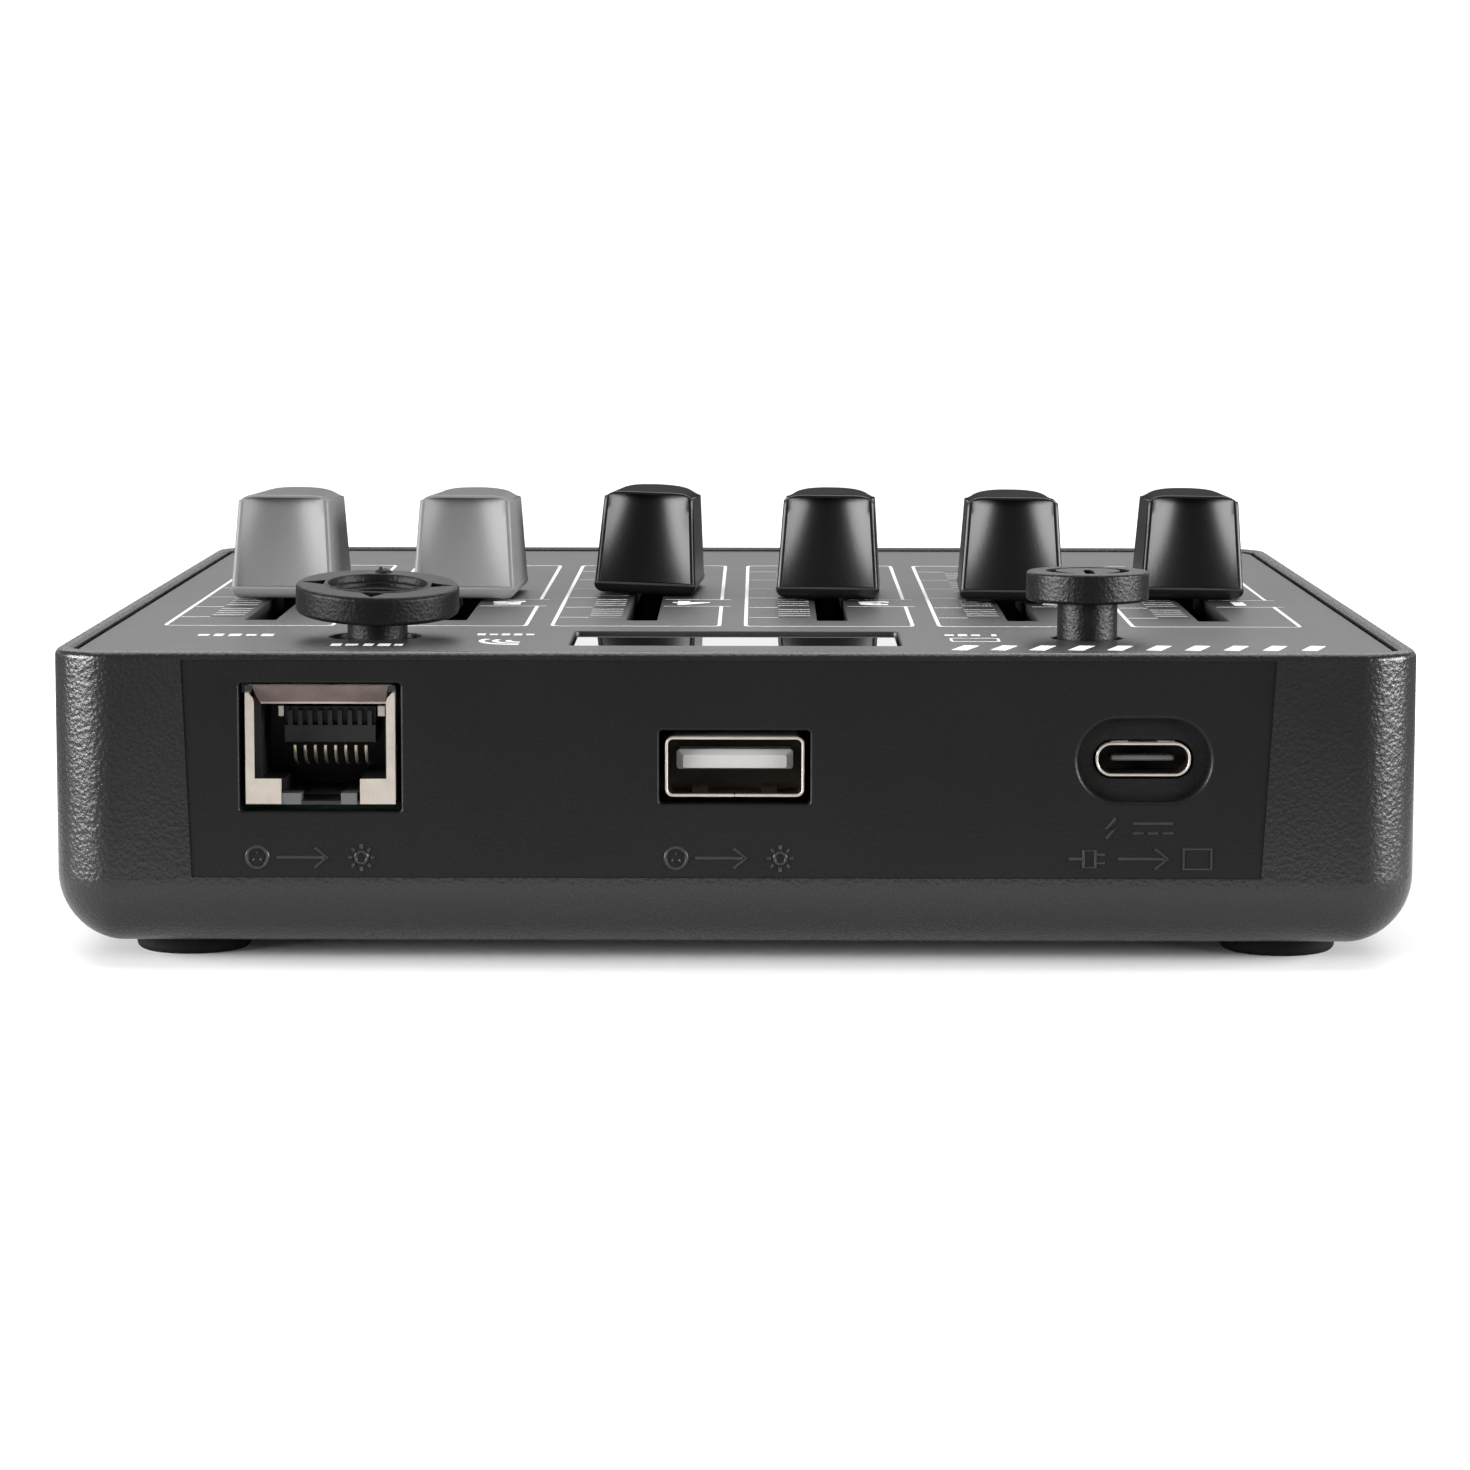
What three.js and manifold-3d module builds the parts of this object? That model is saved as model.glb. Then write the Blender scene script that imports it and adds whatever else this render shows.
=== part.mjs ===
// Wireless lighting controller with six slide faders, a five-way stick and a power button.
// Millimetres, +Z up. The floor is z = 0, the sockets are in the -Y face, and the origin
// is at the middle of the footprint. Distances named "back" are measured behind that face.

import * as THREE from "three";
import { mergeVertices } from "three/addons/utils/BufferGeometryUtils.js";
import Module from "manifold-3d";

const wasm = await Module();
wasm.setup();

// Clearances shared by all pieces
const seatGap = 0.3;
const slideGap = 0.15;
const overrun = 1;
const weld = 0.001;

// Steps of round shapes
const cornerSteps = 4;
const filletSteps = 4;
const arcSteps = 2;
const pillSteps = 4;
const signSteps = 14;
const capSteps = 3;
const roundSteps = 12;
const discSteps = 28;
const padSteps = 8;
const hexSides = 6;
const pipSides = 10;

// Housing tub, as wide and as deep as its faders and the margins beside them
const sideMargin = 15.75;
const farMargin = 35.7;
const rimTop = 30;
const footDrop = 1.8;
const bodyCorner = 6;
const bottomRadius = 6.8;
const topRadius = 0.7;
const rimWidth = 1.6;
const rimChamfer = 0.25;
const wall = 2.6;
const floorThickness = 2.2;
const leastCornerShare = 0.15;
const postRadius = 4;
const postSide = 11.9;
const postEnd = 13.5;
const cradleWall = 1.2;
const cradleHeight = 3;

// Shallow mould mark on the socket face
const markSide = 13.9;
const markTaper = 0.8;
const markHeight = 21.5;
const markDepth = 0.15;

// Top panel
const panelThickness = 2;
const panelRecess = 0.4;
const panelBossRadius = 3.5;

// Faders
const faderCount = 6;
const faderPitch = 19.5;
const faderTravel = 60;
const travelNearBack = 40.3;
const faderRestBacks = [69, 69, 75.3, 69.8, 66.4, 69.6];
const slotWidth = 3.1;
const slotCorner = 0.4;
const caseWidth = 9;
const caseEnd = 7.5;
const caseHeight = 7;
const caseSheet = 0.6;
const leverThickness = 1.4;
const leverDepth = 3.2;
const leverIntoCap = 5.6;
const carriageWidth = 6.4;
const carriageLength = 8.6;
const carriageHeight = 3.4;

// Fader cap
const capLift = 0.3;
const capHeight = 11.2;
const capWidth = 11.5;
const capDepth = 17.3;
const capTopWidth = 9.9;
const capTopDepth = 14;
const capCorner = 0.9;
const capSkirt = 1.35;
const capSkirtStep = 0.3;
const capCrownRadius = 0.8;
const capCrownRise = 0.7;
const capBorder = 1;
const capBorderTop = 0.3;
const capPadStep = 0.15;
const capHollowing = 0.45;
const capUnderWall = 1.2;
const crownShares = [0.7, 0.4];
const capUnderDepth = 2.4;

// Display
const windowWidth = 32;
const windowDepth = 15.3;
const windowBack = 19.1;
const windowCorner = 0.5;
const lensDrop = 0.7;
const lensFlange = 1.5;
const lensFlangeThickness = 0.8;
const glassMargin = 0.7;
const glassThickness = 1.4;
const displayBoardWidth = 38;
const displayBoardDepth = 19;
const displayBoardThickness = 1.2;
const headerWidth = 10.2;
const headerDepth = 2.5;

// Main board and its fixings
const boardTop = 15.4;
const boardThickness = 1.6;
const boardMargin = 1;
const chipSide = 9;
const chipHeight = 1.1;
const screwRadius = 1.4;
const screwHeadRadius = 2.7;
const screwHeadHeight = 2;
const screwHeadTop = 5;
const screwTop = 24;
const screwDriveRadius = 1.2;
const screwDriveDepth = 1.1;

// Feet
const footRadius = 5.55;
const footRecess = 0.6;
const footRounding = 0.7;

// Five-way stick
const stickSide = 29.1;
const stickBack = 20.9;
const stickHoleRadius = 4.55;
const stickHubRadius = 2.95;
const stickDiscRadius = 8;
const stickDiscLift = 2.4;
const stickDiscThickness = 2.8;
const stickLean = 5.5;
const stickEdge = 0.35;
const dishRadius = 4.75;
const dishDepth = 1;
const dishSteps = 3;
const arrowReach = 7.5;
const arrowLength = 1.9;
const arrowWidth = 1.8;
const arrowDepth = 0.45;
const pipRadius = 0.55;
const pivotRise = 4.1;
const switchSide = 10;
const switchWall = 0.8;
const switchRise = 2.5;
const coverThickness = 0.4;
const coverHoleRadius = 3.6;
const trayThickness = 0.8;
const trayLift = 1.5;
const earThickness = 0.6;
const earWidth = 2.4;
const earRise = 1;
const ringRadius = 2.9;
const ringWall = 0.6;
const ringHeight = 2.4;
const trunnionRadius = 0.4;
const stemRadius = 1.4;
const stemFoot = 1.2;
const stemTop = 31;

// Power button
const powerSide = 30.1;
const powerBack = 20.3;
const powerHoleRadius = 3.5;
const powerHubRadius = 2.95;
const powerDiscRadius = 6;
const powerDiscLift = 3.7;
const powerDiscThickness = 2.9;
const powerEdge = 0.4;
const signRadius = 3.9;
const signWidth = 0.5;
const signDepth = 0.35;
const signGapDegrees = 50;
const signBarLength = 1.7;
const powerSwitchSide = 12;
const powerSwitchHeight = 4.5;
const plungerRadius = 1.9;
const plungerTop = 27;
const powerPress = 0.5;

// Network socket
const netSide = 25.6;
const netHoleWidth = 15.2;
const netHoleHeight = 12.2;
const netHoleBottom = 14.9;
const netWidth = 14.1;
const netHeight = 11.3;
const netLength = 15.2;
const netFrontBack = 0.4;
const netSheet = 0.3;
const netOpenWidth = 12.06;
const netOpenBottom = 2.2;
const netOpenTop = 9.6;
const netKeyWidth = 7.1;
const netKeyStep = 0.9;
const netInnerKeyWidth = 3.9;
const netLip = 0.4;
const netRoofRun = 2.4;
const netCavityLength = 11.5;
const netCombFront = 4.6;
const netCombBottom = 6.7;
const netPinCount = 8;
const netPinPitch = 1.02;
const netPinSide = 0.42;
const netPinRun = 5;
const netPinDrop = 2.2;

// USB type A socket
const usbX = 0;
const usbHoleWidth = 14.2;
const usbHoleHeight = 7;
const usbMiddle = 19.2;
const usbWidth = 13.1;
const usbHeight = 5.7;
const usbCorner = 0.7;
const usbSheet = 0.35;
const usbLength = 14;
const usbFrontBack = 0.6;
const tongueWidth = 11;
const tongueThickness = 1.9;
const tongueTop = 1.8;
const tongueFront = 2;
const tongueRoot = 3;
const usbLegWidth = 0.9;
const usbLegDepth = 2.4;

// USB type C socket
const powerInSide = 26.1;
const recessWidth = 12.45;
const recessHeight = 7.8;
const recessDepth = 1.5;
const powerInHoleGap = 0.35;
const powerInMiddle = 19.9;
const powerInWidth = 8.94;
const powerInHeight = 3.2;
const powerInSheet = 0.33;
const powerInLength = 7.3;
const powerInFrontBack = 1.2;
const blade = 0.7;
const bladeWidth = 6.7;
const bladeFront = 0.9;
const bladeRoot = 1.4;
const powerInBaseWidth = 8;
const powerInBaseLength = 5;
const pillCornerShare = 0.46;

// Battery and radio
const batteryWidth = 60;
const batteryDepth = 50;
const batteryThickness = 7;
const batteryCorner = 1.5;
const batteryY = 8;
const padThickness = 0.8;
const padShare = 0.8;
const leadRadius = 1;
const leadSides = 8;
const leadSteps = 10;
const leadInset = 12;
const leadSpan = 11;
const leadSway = 4;
const batterySocketWidth = 6;
const batterySocketDepth = 4.5;
const batterySocketHeight = 5;
const radioSide = 42.5;
const radioGap = 2.4;
const radioWidth = 24;
const radioDepth = 15;
const radioThickness = 1;
const canWidth = 13;
const canDepth = 11;
const canHeight = 2.2;
const canSheet = 0.3;
const canShift = 4;

// Places worked out from the sizes above
const bodyWidth = (faderCount - 1) * faderPitch + 2 * sideMargin;
const bodyDepth = travelNearBack + faderTravel + farMargin;
const halfWidth = bodyWidth / 2;
const halfDepth = bodyDepth / 2;
const faceY = -halfDepth;
const underside = footDrop;
const innerFloor = underside + floorThickness;
const panelTop = rimTop - panelRecess;
const panelUnder = panelTop - panelThickness;
const ledge = panelUnder - seatGap;
const boardUnder = boardTop - boardThickness;
const postX = halfWidth - postSide;
const postY = halfDepth - postEnd;
const stickX = stickSide - halfWidth;
const stickY = faceY + stickBack;
const powerX = halfWidth - powerSide;
const powerY = faceY + powerBack;
const netX = netSide - halfWidth;
const powerInX = halfWidth - powerInSide;
const caseLength = faderTravel + 2 * caseEnd;
const slotLength = faderTravel + leverDepth + 2 * seatGap;
const travelNearY = faceY + travelNearBack;
const slotMiddleY = travelNearY + faderTravel / 2;
const pivotHeight = boardTop + pivotRise;
const switchTop = pivotHeight + switchRise;
const leadX = batteryWidth / 2 - leadInset;
const radioX = halfWidth - radioSide;
const radioY = slotMiddleY + caseLength / 2 + radioGap + radioDepth / 2;
const markWidth = bodyWidth - 2 * markSide;
const quarterTurn = Math.PI / 2;

function vec(x, y) {
  return new THREE.Vector2(x, y);
}

function degrees(angle) {
  return THREE.MathUtils.degToRad(angle);
}

// A closed three.js geometry becomes a solid that can be joined and cut
function solid(geometry) {
  const bare = geometry.clone();
  bare.deleteAttribute("normal");
  bare.deleteAttribute("uv");
  const merged = mergeVertices(bare, weld);
  const vertProperties = new Float32Array(merged.attributes.position.array);
  const triVerts = new Uint32Array(merged.index.array);
  return new wasm.Manifold(new wasm.Mesh({ numProp: 3, vertProperties, triVerts }));
}

function joined(first, ...others) {
  return others.reduce((sum, other) => sum.add(other), first);
}

function without(first, ...others) {
  return others.reduce((rest, other) => rest.subtract(other), first);
}

// Box from its middle in plan, its two sides and its two heights
function block(x, y, width, depth, low, high) {
  const geometry = new THREE.BoxGeometry(width, depth, high - low);
  geometry.translate(x, y, (low + high) / 2);
  return solid(geometry);
}

// Round bar standing on z = low
function drum(x, y, radius, low, high, steps = roundSteps) {
  const geometry = new THREE.CylinderGeometry(radius, radius, high - low, steps);
  geometry.rotateX(quarterTurn);
  geometry.translate(x, y, (low + high) / 2);
  return solid(geometry);
}

// Round bar lying along X or Y through a point
function axle(x, y, z, radius, length, alongX) {
  const geometry = new THREE.CylinderGeometry(radius, radius, length, roundSteps / 2);
  if (alongX) {
    geometry.rotateZ(quarterTurn);
  }
  geometry.translate(x, y, z);
  return solid(geometry);
}

// Turned piece from an outline of (radius, height) points, going up the outside
function turned(outline, x, y, steps = discSteps) {
  const geometry = new THREE.LatheGeometry(outline, steps);
  geometry.rotateX(quarterTurn);
  geometry.translate(x, y, 0);
  return solid(geometry);
}

function roundedShape(width, depth, radius) {
  const x = width / 2 - radius;
  const y = depth / 2 - radius;
  const shape = new THREE.Shape();
  shape.absarc(x, y, radius, 0, quarterTurn);
  shape.absarc(-x, y, radius, quarterTurn, 2 * quarterTurn);
  shape.absarc(-x, -y, radius, 2 * quarterTurn, 3 * quarterTurn);
  shape.absarc(x, -y, radius, 3 * quarterTurn, 4 * quarterTurn);
  shape.closePath();
  return shape;
}

function extruded(shape, depth, curveSegments = arcSteps) {
  return new THREE.ExtrudeGeometry(shape, { depth, bevelEnabled: false, curveSegments });
}

// Flat plate from a plan outline
function plate(shape, x, y, low, high) {
  const geometry = extruded(shape, high - low);
  geometry.translate(x, y, low);
  return solid(geometry);
}

// Bar along Y whose outline is drawn as (x, z)
function rail(shape, x, z, front, back, curveSegments = arcSteps) {
  const geometry = extruded(shape, back - front, curveSegments);
  geometry.rotateX(quarterTurn);
  geometry.translate(x, back, z);
  return solid(geometry);
}

// Bar along X whose outline is drawn as (y, z)
function beam(shape, x, y, z, length) {
  const geometry = extruded(shape, length);
  const turn = new THREE.Matrix4().makeBasis(
    new THREE.Vector3(0, 1, 0),
    new THREE.Vector3(0, 0, 1),
    new THREE.Vector3(1, 0, 0)
  );
  geometry.applyMatrix4(turn);
  geometry.translate(x - length / 2, y, z);
  return solid(geometry);
}

// Points of a rounded rectangle, anticlockwise from +X
function roundedRing(halfX, halfY, radius, z, steps = cornerSteps) {
  const corners = [[1, 1], [-1, 1], [-1, -1], [1, -1]];
  const points = [];
  corners.forEach(([signX, signY], corner) => {
    for (let step = 0; step <= steps; step += 1) {
      const angle = (corner + step / steps) * quarterTurn;
      const x = signX * (halfX - radius) + radius * Math.cos(angle);
      const y = signY * (halfY - radius) + radius * Math.sin(angle);
      points.push(new THREE.Vector3(x, y, z));
    }
  });
  return points;
}

// Skin over a stack of rings, closed by a fan at each end
function lofted(rings) {
  const count = rings[0].length;
  const points = rings.flat();
  const faces = [];
  for (let row = 0; row < rings.length - 1; row += 1) {
    for (let step = 0; step < count; step += 1) {
      const next = (step + 1) % count;
      const a = row * count + step;
      const b = row * count + next;
      faces.push(a, b, b + count, a, b + count, a + count);
    }
  }
  const ends = [rings[0], rings[rings.length - 1]];
  const middles = ends.map((ring) => {
    const sum = ring.reduce((total, point) => total.add(point), new THREE.Vector3());
    return points.push(sum.divideScalar(count)) - 1;
  });
  const last = (rings.length - 1) * count;
  for (let step = 0; step < count; step += 1) {
    const next = (step + 1) % count;
    faces.push(middles[0], next, step);
    faces.push(middles[1], last + step, last + next);
  }
  const geometry = new THREE.BufferGeometry().setFromPoints(points);
  geometry.setIndex(faces);
  return solid(geometry);
}

function material(color, roughness, metalness = 0) {
  return new THREE.MeshStandardMaterial({ color, roughness, metalness });
}

const group = new THREE.Group();

function addPiece(name, body, finish) {
  const { vertProperties, triVerts } = body.getMesh();
  const geometry = new THREE.BufferGeometry();
  geometry.setAttribute("position", new THREE.BufferAttribute(new Float32Array(vertProperties), 3));
  geometry.setIndex(new THREE.BufferAttribute(new Uint32Array(triVerts), 1));
  geometry.computeVertexNormals();
  const mesh = new THREE.Mesh(geometry, finish);
  mesh.name = name;
  group.add(mesh);
  return mesh;
}

function eachCorner(place) {
  const corners = [[-1, -1], [1, -1], [-1, 1], [1, 1]];
  return corners.map(([signX, signY], index) => place(signX * postX, signY * postY, index + 1));
}

function faderX(index) {
  return (index - (faderCount - 1) / 2) * faderPitch;
}

function eachFader(place) {
  return faderRestBacks.map((back, index) => place(faderX(index), faceY + back, index + 1));
}

// Outline of the tub at one depth inside its outer skin
function tubRing(inset, z) {
  const radius = Math.max(bodyCorner - inset, bodyCorner * leastCornerShare);
  return roundedRing(halfWidth - inset, halfDepth - inset, radius, z);
}

function roundedFoot(inset, radius, z) {
  const rings = [];
  for (let step = 0; step <= filletSteps; step += 1) {
    const angle = (step / filletSteps) * quarterTurn;
    rings.push(tubRing(inset + radius * (1 - Math.sin(angle)), z + radius * (1 - Math.cos(angle))));
  }
  return rings;
}

function roundedRim() {
  const rings = [];
  for (let step = 0; step <= filletSteps / 2; step += 1) {
    const angle = (step / Math.floor(filletSteps / 2)) * quarterTurn;
    const inset = topRadius * (1 - Math.cos(angle));
    rings.push(tubRing(inset, rimTop - topRadius * (1 - Math.sin(angle))));
  }
  return rings;
}

// Shell of the tub: up the outside, over the rim, down to the panel ledge and the inner floor
function tubShell() {
  return lofted([
    ...roundedFoot(0, bottomRadius, underside),
    ...roundedRim(),
    tubRing(rimWidth - rimChamfer, rimTop),
    tubRing(rimWidth, rimTop - rimChamfer),
    tubRing(rimWidth, ledge),
    tubRing(wall, ledge),
    ...roundedFoot(wall, bottomRadius - wall, innerFloor).reverse(),
  ]);
}

function mouldMark() {
  const low = rimTop - markHeight;
  const shape = new THREE.Shape([
    vec(-markWidth / 2 + markTaper, 0),
    vec(markWidth / 2 - markTaper, 0),
    vec(markWidth / 2, ledge - low),
    vec(-markWidth / 2, ledge - low),
  ]);
  return rail(shape, 0, low, faceY - overrun, faceY + markDepth);
}

function wallCut(shape, x, z, depth, curveSegments = arcSteps) {
  return rail(shape, x, z, faceY - overrun, faceY + depth, curveSegments);
}

function socketCuts() {
  const netHole = roundedShape(netHoleWidth, netHoleHeight, rimChamfer);
  const usbHole = roundedShape(usbHoleWidth, usbHoleHeight, rimChamfer);
  const recess = roundedShape(recessWidth, recessHeight, recessHeight / 2 - rimChamfer);
  const holeHeight = powerInHeight + 2 * powerInHoleGap;
  const hole = roundedShape(powerInWidth + 2 * powerInHoleGap, holeHeight, holeHeight / 2 - powerInSheet);
  return [
    wallCut(netHole, netX, netHoleBottom + netHoleHeight / 2, wall + overrun),
    wallCut(usbHole, usbX, usbMiddle, wall + overrun),
    wallCut(recess, powerInX, powerInMiddle, recessDepth, pillSteps),
    wallCut(hole, powerInX, powerInMiddle, wall + overrun, pillSteps),
  ];
}

function post(x, y) {
  return drum(x, y, postRadius, innerFloor - floorThickness / 2, boardUnder - seatGap);
}

function postCuts(x, y) {
  return [
    drum(x, y, footRadius + seatGap, underside - overrun, underside + footRecess, discSteps),
    drum(x, y, screwHeadRadius + seatGap, underside - overrun, screwHeadTop + seatGap),
    drum(x, y, screwRadius + seatGap, underside, boardTop),
  ];
}

// Low wall that keeps the battery in place
function batteryCradle() {
  const width = batteryWidth + 2 * seatGap;
  const depth = batteryDepth + 2 * seatGap;
  const low = innerFloor - floorThickness / 2;
  const high = innerFloor + cradleHeight;
  const outer = roundedShape(width + 2 * cradleWall, depth + 2 * cradleWall, batteryCorner + cradleWall);
  const outerWall = plate(outer, 0, batteryY, low, high);
  const inner = plate(roundedShape(width, depth, batteryCorner), 0, batteryY, low - overrun, high + overrun);
  return without(outerWall, inner);
}

function housingTub() {
  const posts = eachCorner(post);
  const cuts = eachCorner(postCuts).flat();
  const shell = joined(tubShell(), ...posts, batteryCradle());
  return without(shell, ...cuts, ...socketCuts(), mouldMark());
}

// Panel plate with its fader slots, stick hole, button hole and display window
function panelOutline() {
  const inset = rimWidth + seatGap;
  return roundedShape(bodyWidth - 2 * inset, bodyDepth - 2 * inset, bodyCorner - inset);
}

function faderSlot(x) {
  const shape = roundedShape(slotWidth, slotLength, slotCorner);
  return plate(shape, x, slotMiddleY, panelUnder - overrun, panelTop + overrun);
}

function panelBoss(x, y) {
  return drum(x, y, panelBossRadius, boardTop + seatGap, panelUnder + panelThickness / 2);
}

function topPanel() {
  const low = panelUnder - overrun;
  const high = panelTop + overrun;
  const sheet = plate(panelOutline(), 0, 0, panelUnder, panelTop);
  const window = roundedShape(windowWidth, windowDepth, windowCorner);
  const opening = plate(window, 0, faceY + windowBack, low, high);
  const slots = eachFader(faderSlot);
  const stickHole = drum(stickX, stickY, stickHoleRadius, low, high, discSteps);
  const powerHole = drum(powerX, powerY, powerHoleRadius, low, high, discSteps);
  const pilots = eachCorner((x, y) => drum(x, y, screwRadius + seatGap, boardTop, screwTop + seatGap));
  const body = joined(sheet, ...eachCorner(panelBoss));
  return without(body, opening, ...slots, stickHole, powerHole, ...pilots);
}

// Display behind its clear window
function displayWindow() {
  const flangeTop = panelUnder - seatGap;
  const flangeLow = flangeTop - lensFlangeThickness;
  const y = faceY + windowBack;
  const lens = roundedShape(windowWidth - 2 * seatGap, windowDepth - 2 * seatGap, windowCorner);
  const flange = roundedShape(windowWidth + 2 * lensFlange, windowDepth + 2 * lensFlange, windowCorner);
  return joined(plate(flange, 0, y, flangeLow, flangeTop), plate(lens, 0, y, flangeLow, panelTop - lensDrop));
}

const lensUnder = panelUnder - seatGap - lensFlangeThickness;
const glassTop = lensUnder - seatGap;
const displayBoardTop = glassTop - glassThickness - seatGap;
const displayBoardUnder = displayBoardTop - displayBoardThickness;

function displayGlass() {
  const shape = roundedShape(windowWidth - glassMargin, windowDepth - glassMargin, windowCorner);
  return plate(shape, 0, faceY + windowBack, glassTop - glassThickness, glassTop);
}

function displayBoard() {
  const shape = roundedShape(displayBoardWidth, displayBoardDepth, windowCorner);
  return plate(shape, 0, faceY + windowBack, displayBoardUnder, displayBoardTop);
}

function displayHeader() {
  const y = faceY + windowBack + displayBoardDepth / 2 - headerDepth / 2 - slideGap;
  return block(0, y, headerWidth, headerDepth, boardTop + seatGap, displayBoardUnder - seatGap);
}

function mainBoard() {
  const inset = wall + boardMargin;
  const shape = roundedShape(bodyWidth - 2 * inset, bodyDepth - 2 * inset, bodyCorner - inset);
  const middle = boardTop - boardThickness / 2;
  const chips = [1, 2].map((place) => {
    return block(radioX - place * faderPitch, radioY, chipSide, chipSide, middle, boardTop + chipHeight);
  });
  const board = joined(plate(shape, 0, 0, boardUnder, boardTop), ...chips);
  const low = boardUnder - overrun;
  const holes = eachCorner((x, y) => drum(x, y, screwRadius + seatGap, low, boardTop + overrun));
  return without(board, ...holes);
}

// Screw through the tub post and the board into the panel boss
function caseScrew(x, y) {
  const headLow = screwHeadTop - screwHeadHeight;
  const head = drum(x, y, screwHeadRadius, headLow, screwHeadTop);
  const shank = drum(x, y, screwRadius, headLow, screwTop);
  const drive = drum(x, y, screwDriveRadius, headLow - overrun, headLow + screwDriveDepth, hexSides);
  return without(joined(head, shank), drive);
}

function foot(x, y) {
  const top = underside + footRecess - slideGap;
  const outline = [vec(0, 0), vec(footRadius - footRounding, 0)];
  for (let step = 1; step <= filletSteps; step += 1) {
    const angle = (step / filletSteps) * quarterTurn;
    const radius = footRadius - footRounding * (1 - Math.sin(angle));
    outline.push(vec(radius, footRounding * (1 - Math.cos(angle))));
  }
  outline.push(vec(footRadius, top), vec(0, top));
  return turned(outline, x, y);
}

// Slide fader: sheet metal case with a slot in its top, and a carriage with a tongue
const caseLow = boardTop + seatGap;
const caseTop = caseLow + caseHeight;

function faderCase(x) {
  const innerWidth = caseWidth - 2 * caseSheet;
  const innerLength = caseLength - 2 * caseSheet;
  const shell = plate(roundedShape(caseWidth, caseLength, caseSheet), x, slotMiddleY, caseLow, caseTop);
  const room = block(x, slotMiddleY, innerWidth, innerLength, caseLow + caseSheet, caseTop - caseSheet);
  const slotAcross = leverThickness + 2 * seatGap;
  const slot = block(x, slotMiddleY, slotAcross, slotLength, caseTop - overrun, caseTop + overrun);
  return without(shell, room, slot);
}

function faderLever(x, y) {
  const low = caseLow + caseSheet + seatGap;
  const carriage = block(x, y, carriageWidth, carriageLength, low, low + carriageHeight);
  const top = panelTop + capLift + leverIntoCap;
  const tongue = block(x, y, leverThickness, leverDepth, low + carriageHeight / 2, top);
  return joined(carriage, tongue);
}

// One level of a fader cap
function capRing(x, y, width, depth, z) {
  const radius = Math.min(capCorner, width / 2, depth / 2);
  const ring = roundedRing(width / 2, depth / 2, radius, z, capSteps);
  return ring.map((point) => new THREE.Vector3(x + point.x, y + point.y, point.z));
}

// Depth of the cap at a height on its slope between the skirt and the crown's edge
function capDepthAt(share) {
  return THREE.MathUtils.lerp(capDepth - capSkirtStep, capTopDepth, share);
}

// Sides that lean in, long edges rounded over, near and far faces that end in a crisp edge,
// and a crown that swells above it
function faderCap(x, y) {
  const low = panelTop + capLift;
  const skirtTop = low + capSkirt;
  const bodyLow = skirtTop + capSkirtStep;
  const edge = low + capHeight - capCrownRise;
  const shoulder = edge - capCrownRadius;
  const rings = [
    capRing(x, y, capWidth - 2 * capSkirtStep, capDepth - 2 * capSkirtStep, low),
    capRing(x, y, capWidth, capDepth, low + capSkirtStep),
    capRing(x, y, capWidth, capDepth, skirtTop),
    capRing(x, y, capWidth - capSkirtStep, capDepthAt(0), bodyLow),
  ];
  for (let step = 0; step <= capSteps; step += 1) {
    const angle = (step / capSteps) * quarterTurn;
    const width = capTopWidth - 2 * capCrownRadius * (1 - Math.cos(angle));
    const z = shoulder + capCrownRadius * Math.sin(angle);
    rings.push(capRing(x, y, width, capDepthAt((z - bodyLow) / (edge - bodyLow)), z));
  }
  for (const share of crownShares) {
    const width = (capTopWidth - 2 * capCrownRadius) * share;
    rings.push(capRing(x, y, width, capTopDepth * share, edge + capCrownRise * (1 - share ** 2)));
  }
  const hollows = [-1, 1].map((side) => fingerHollow(x, y, side, bodyLow, edge));
  return without(lofted(rings), ...capCuts(x, y, low), ...hollows);
}

// Sunk finger pad in the near or far face: a flat step all round, then a shallow trough
function fingerHollow(x, y, side, bottom, edge) {
  const levels = [[bottom, 0], [edge - capBorderTop, 1 - capBorderTop / (edge - bottom)]];
  const rings = levels.map(([z, share]) => {
    const half = THREE.MathUtils.lerp(capWidth - capSkirtStep, capTopWidth, share) / 2 - capBorder;
    const face = capDepthAt(share) / 2;
    const points = [];
    for (let step = 0; step <= padSteps; step += 1) {
      const across = 1 - (2 * step) / padSteps;
      const sunk = capPadStep + capHollowing * (1 - across ** 2);
      points.push(new THREE.Vector3(x - side * half * across, y + side * (face - sunk), z));
    }
    points.push(new THREE.Vector3(x + side * half, y + side * (face + overrun), z));
    points.push(new THREE.Vector3(x - side * half, y + side * (face + overrun), z));
    return points;
  });
  return lofted(rings);
}

// Hollow under the cap around a core that holds the tongue's socket
function capCuts(x, y, low) {
  const width = capWidth - 2 * capUnderWall;
  const depth = capDepth - 2 * capUnderWall;
  const coreWidth = leverThickness + 4 * capUnderWall;
  const coreDepth = leverDepth + 4 * capUnderWall;
  const under = plate(roundedShape(width, depth, capCorner / 2), x, y, low - overrun, low + capUnderDepth);
  const core = block(x, y, coreWidth, coreDepth, low - 2 * overrun, low + 2 * capUnderDepth);
  const socketWidth = leverThickness + 2 * seatGap;
  const socketDepth = leverDepth + 2 * seatGap;
  const socket = block(x, y, socketWidth, socketDepth, low - overrun, low + leverIntoCap + seatGap);
  return [without(under, core), socket];
}

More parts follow.
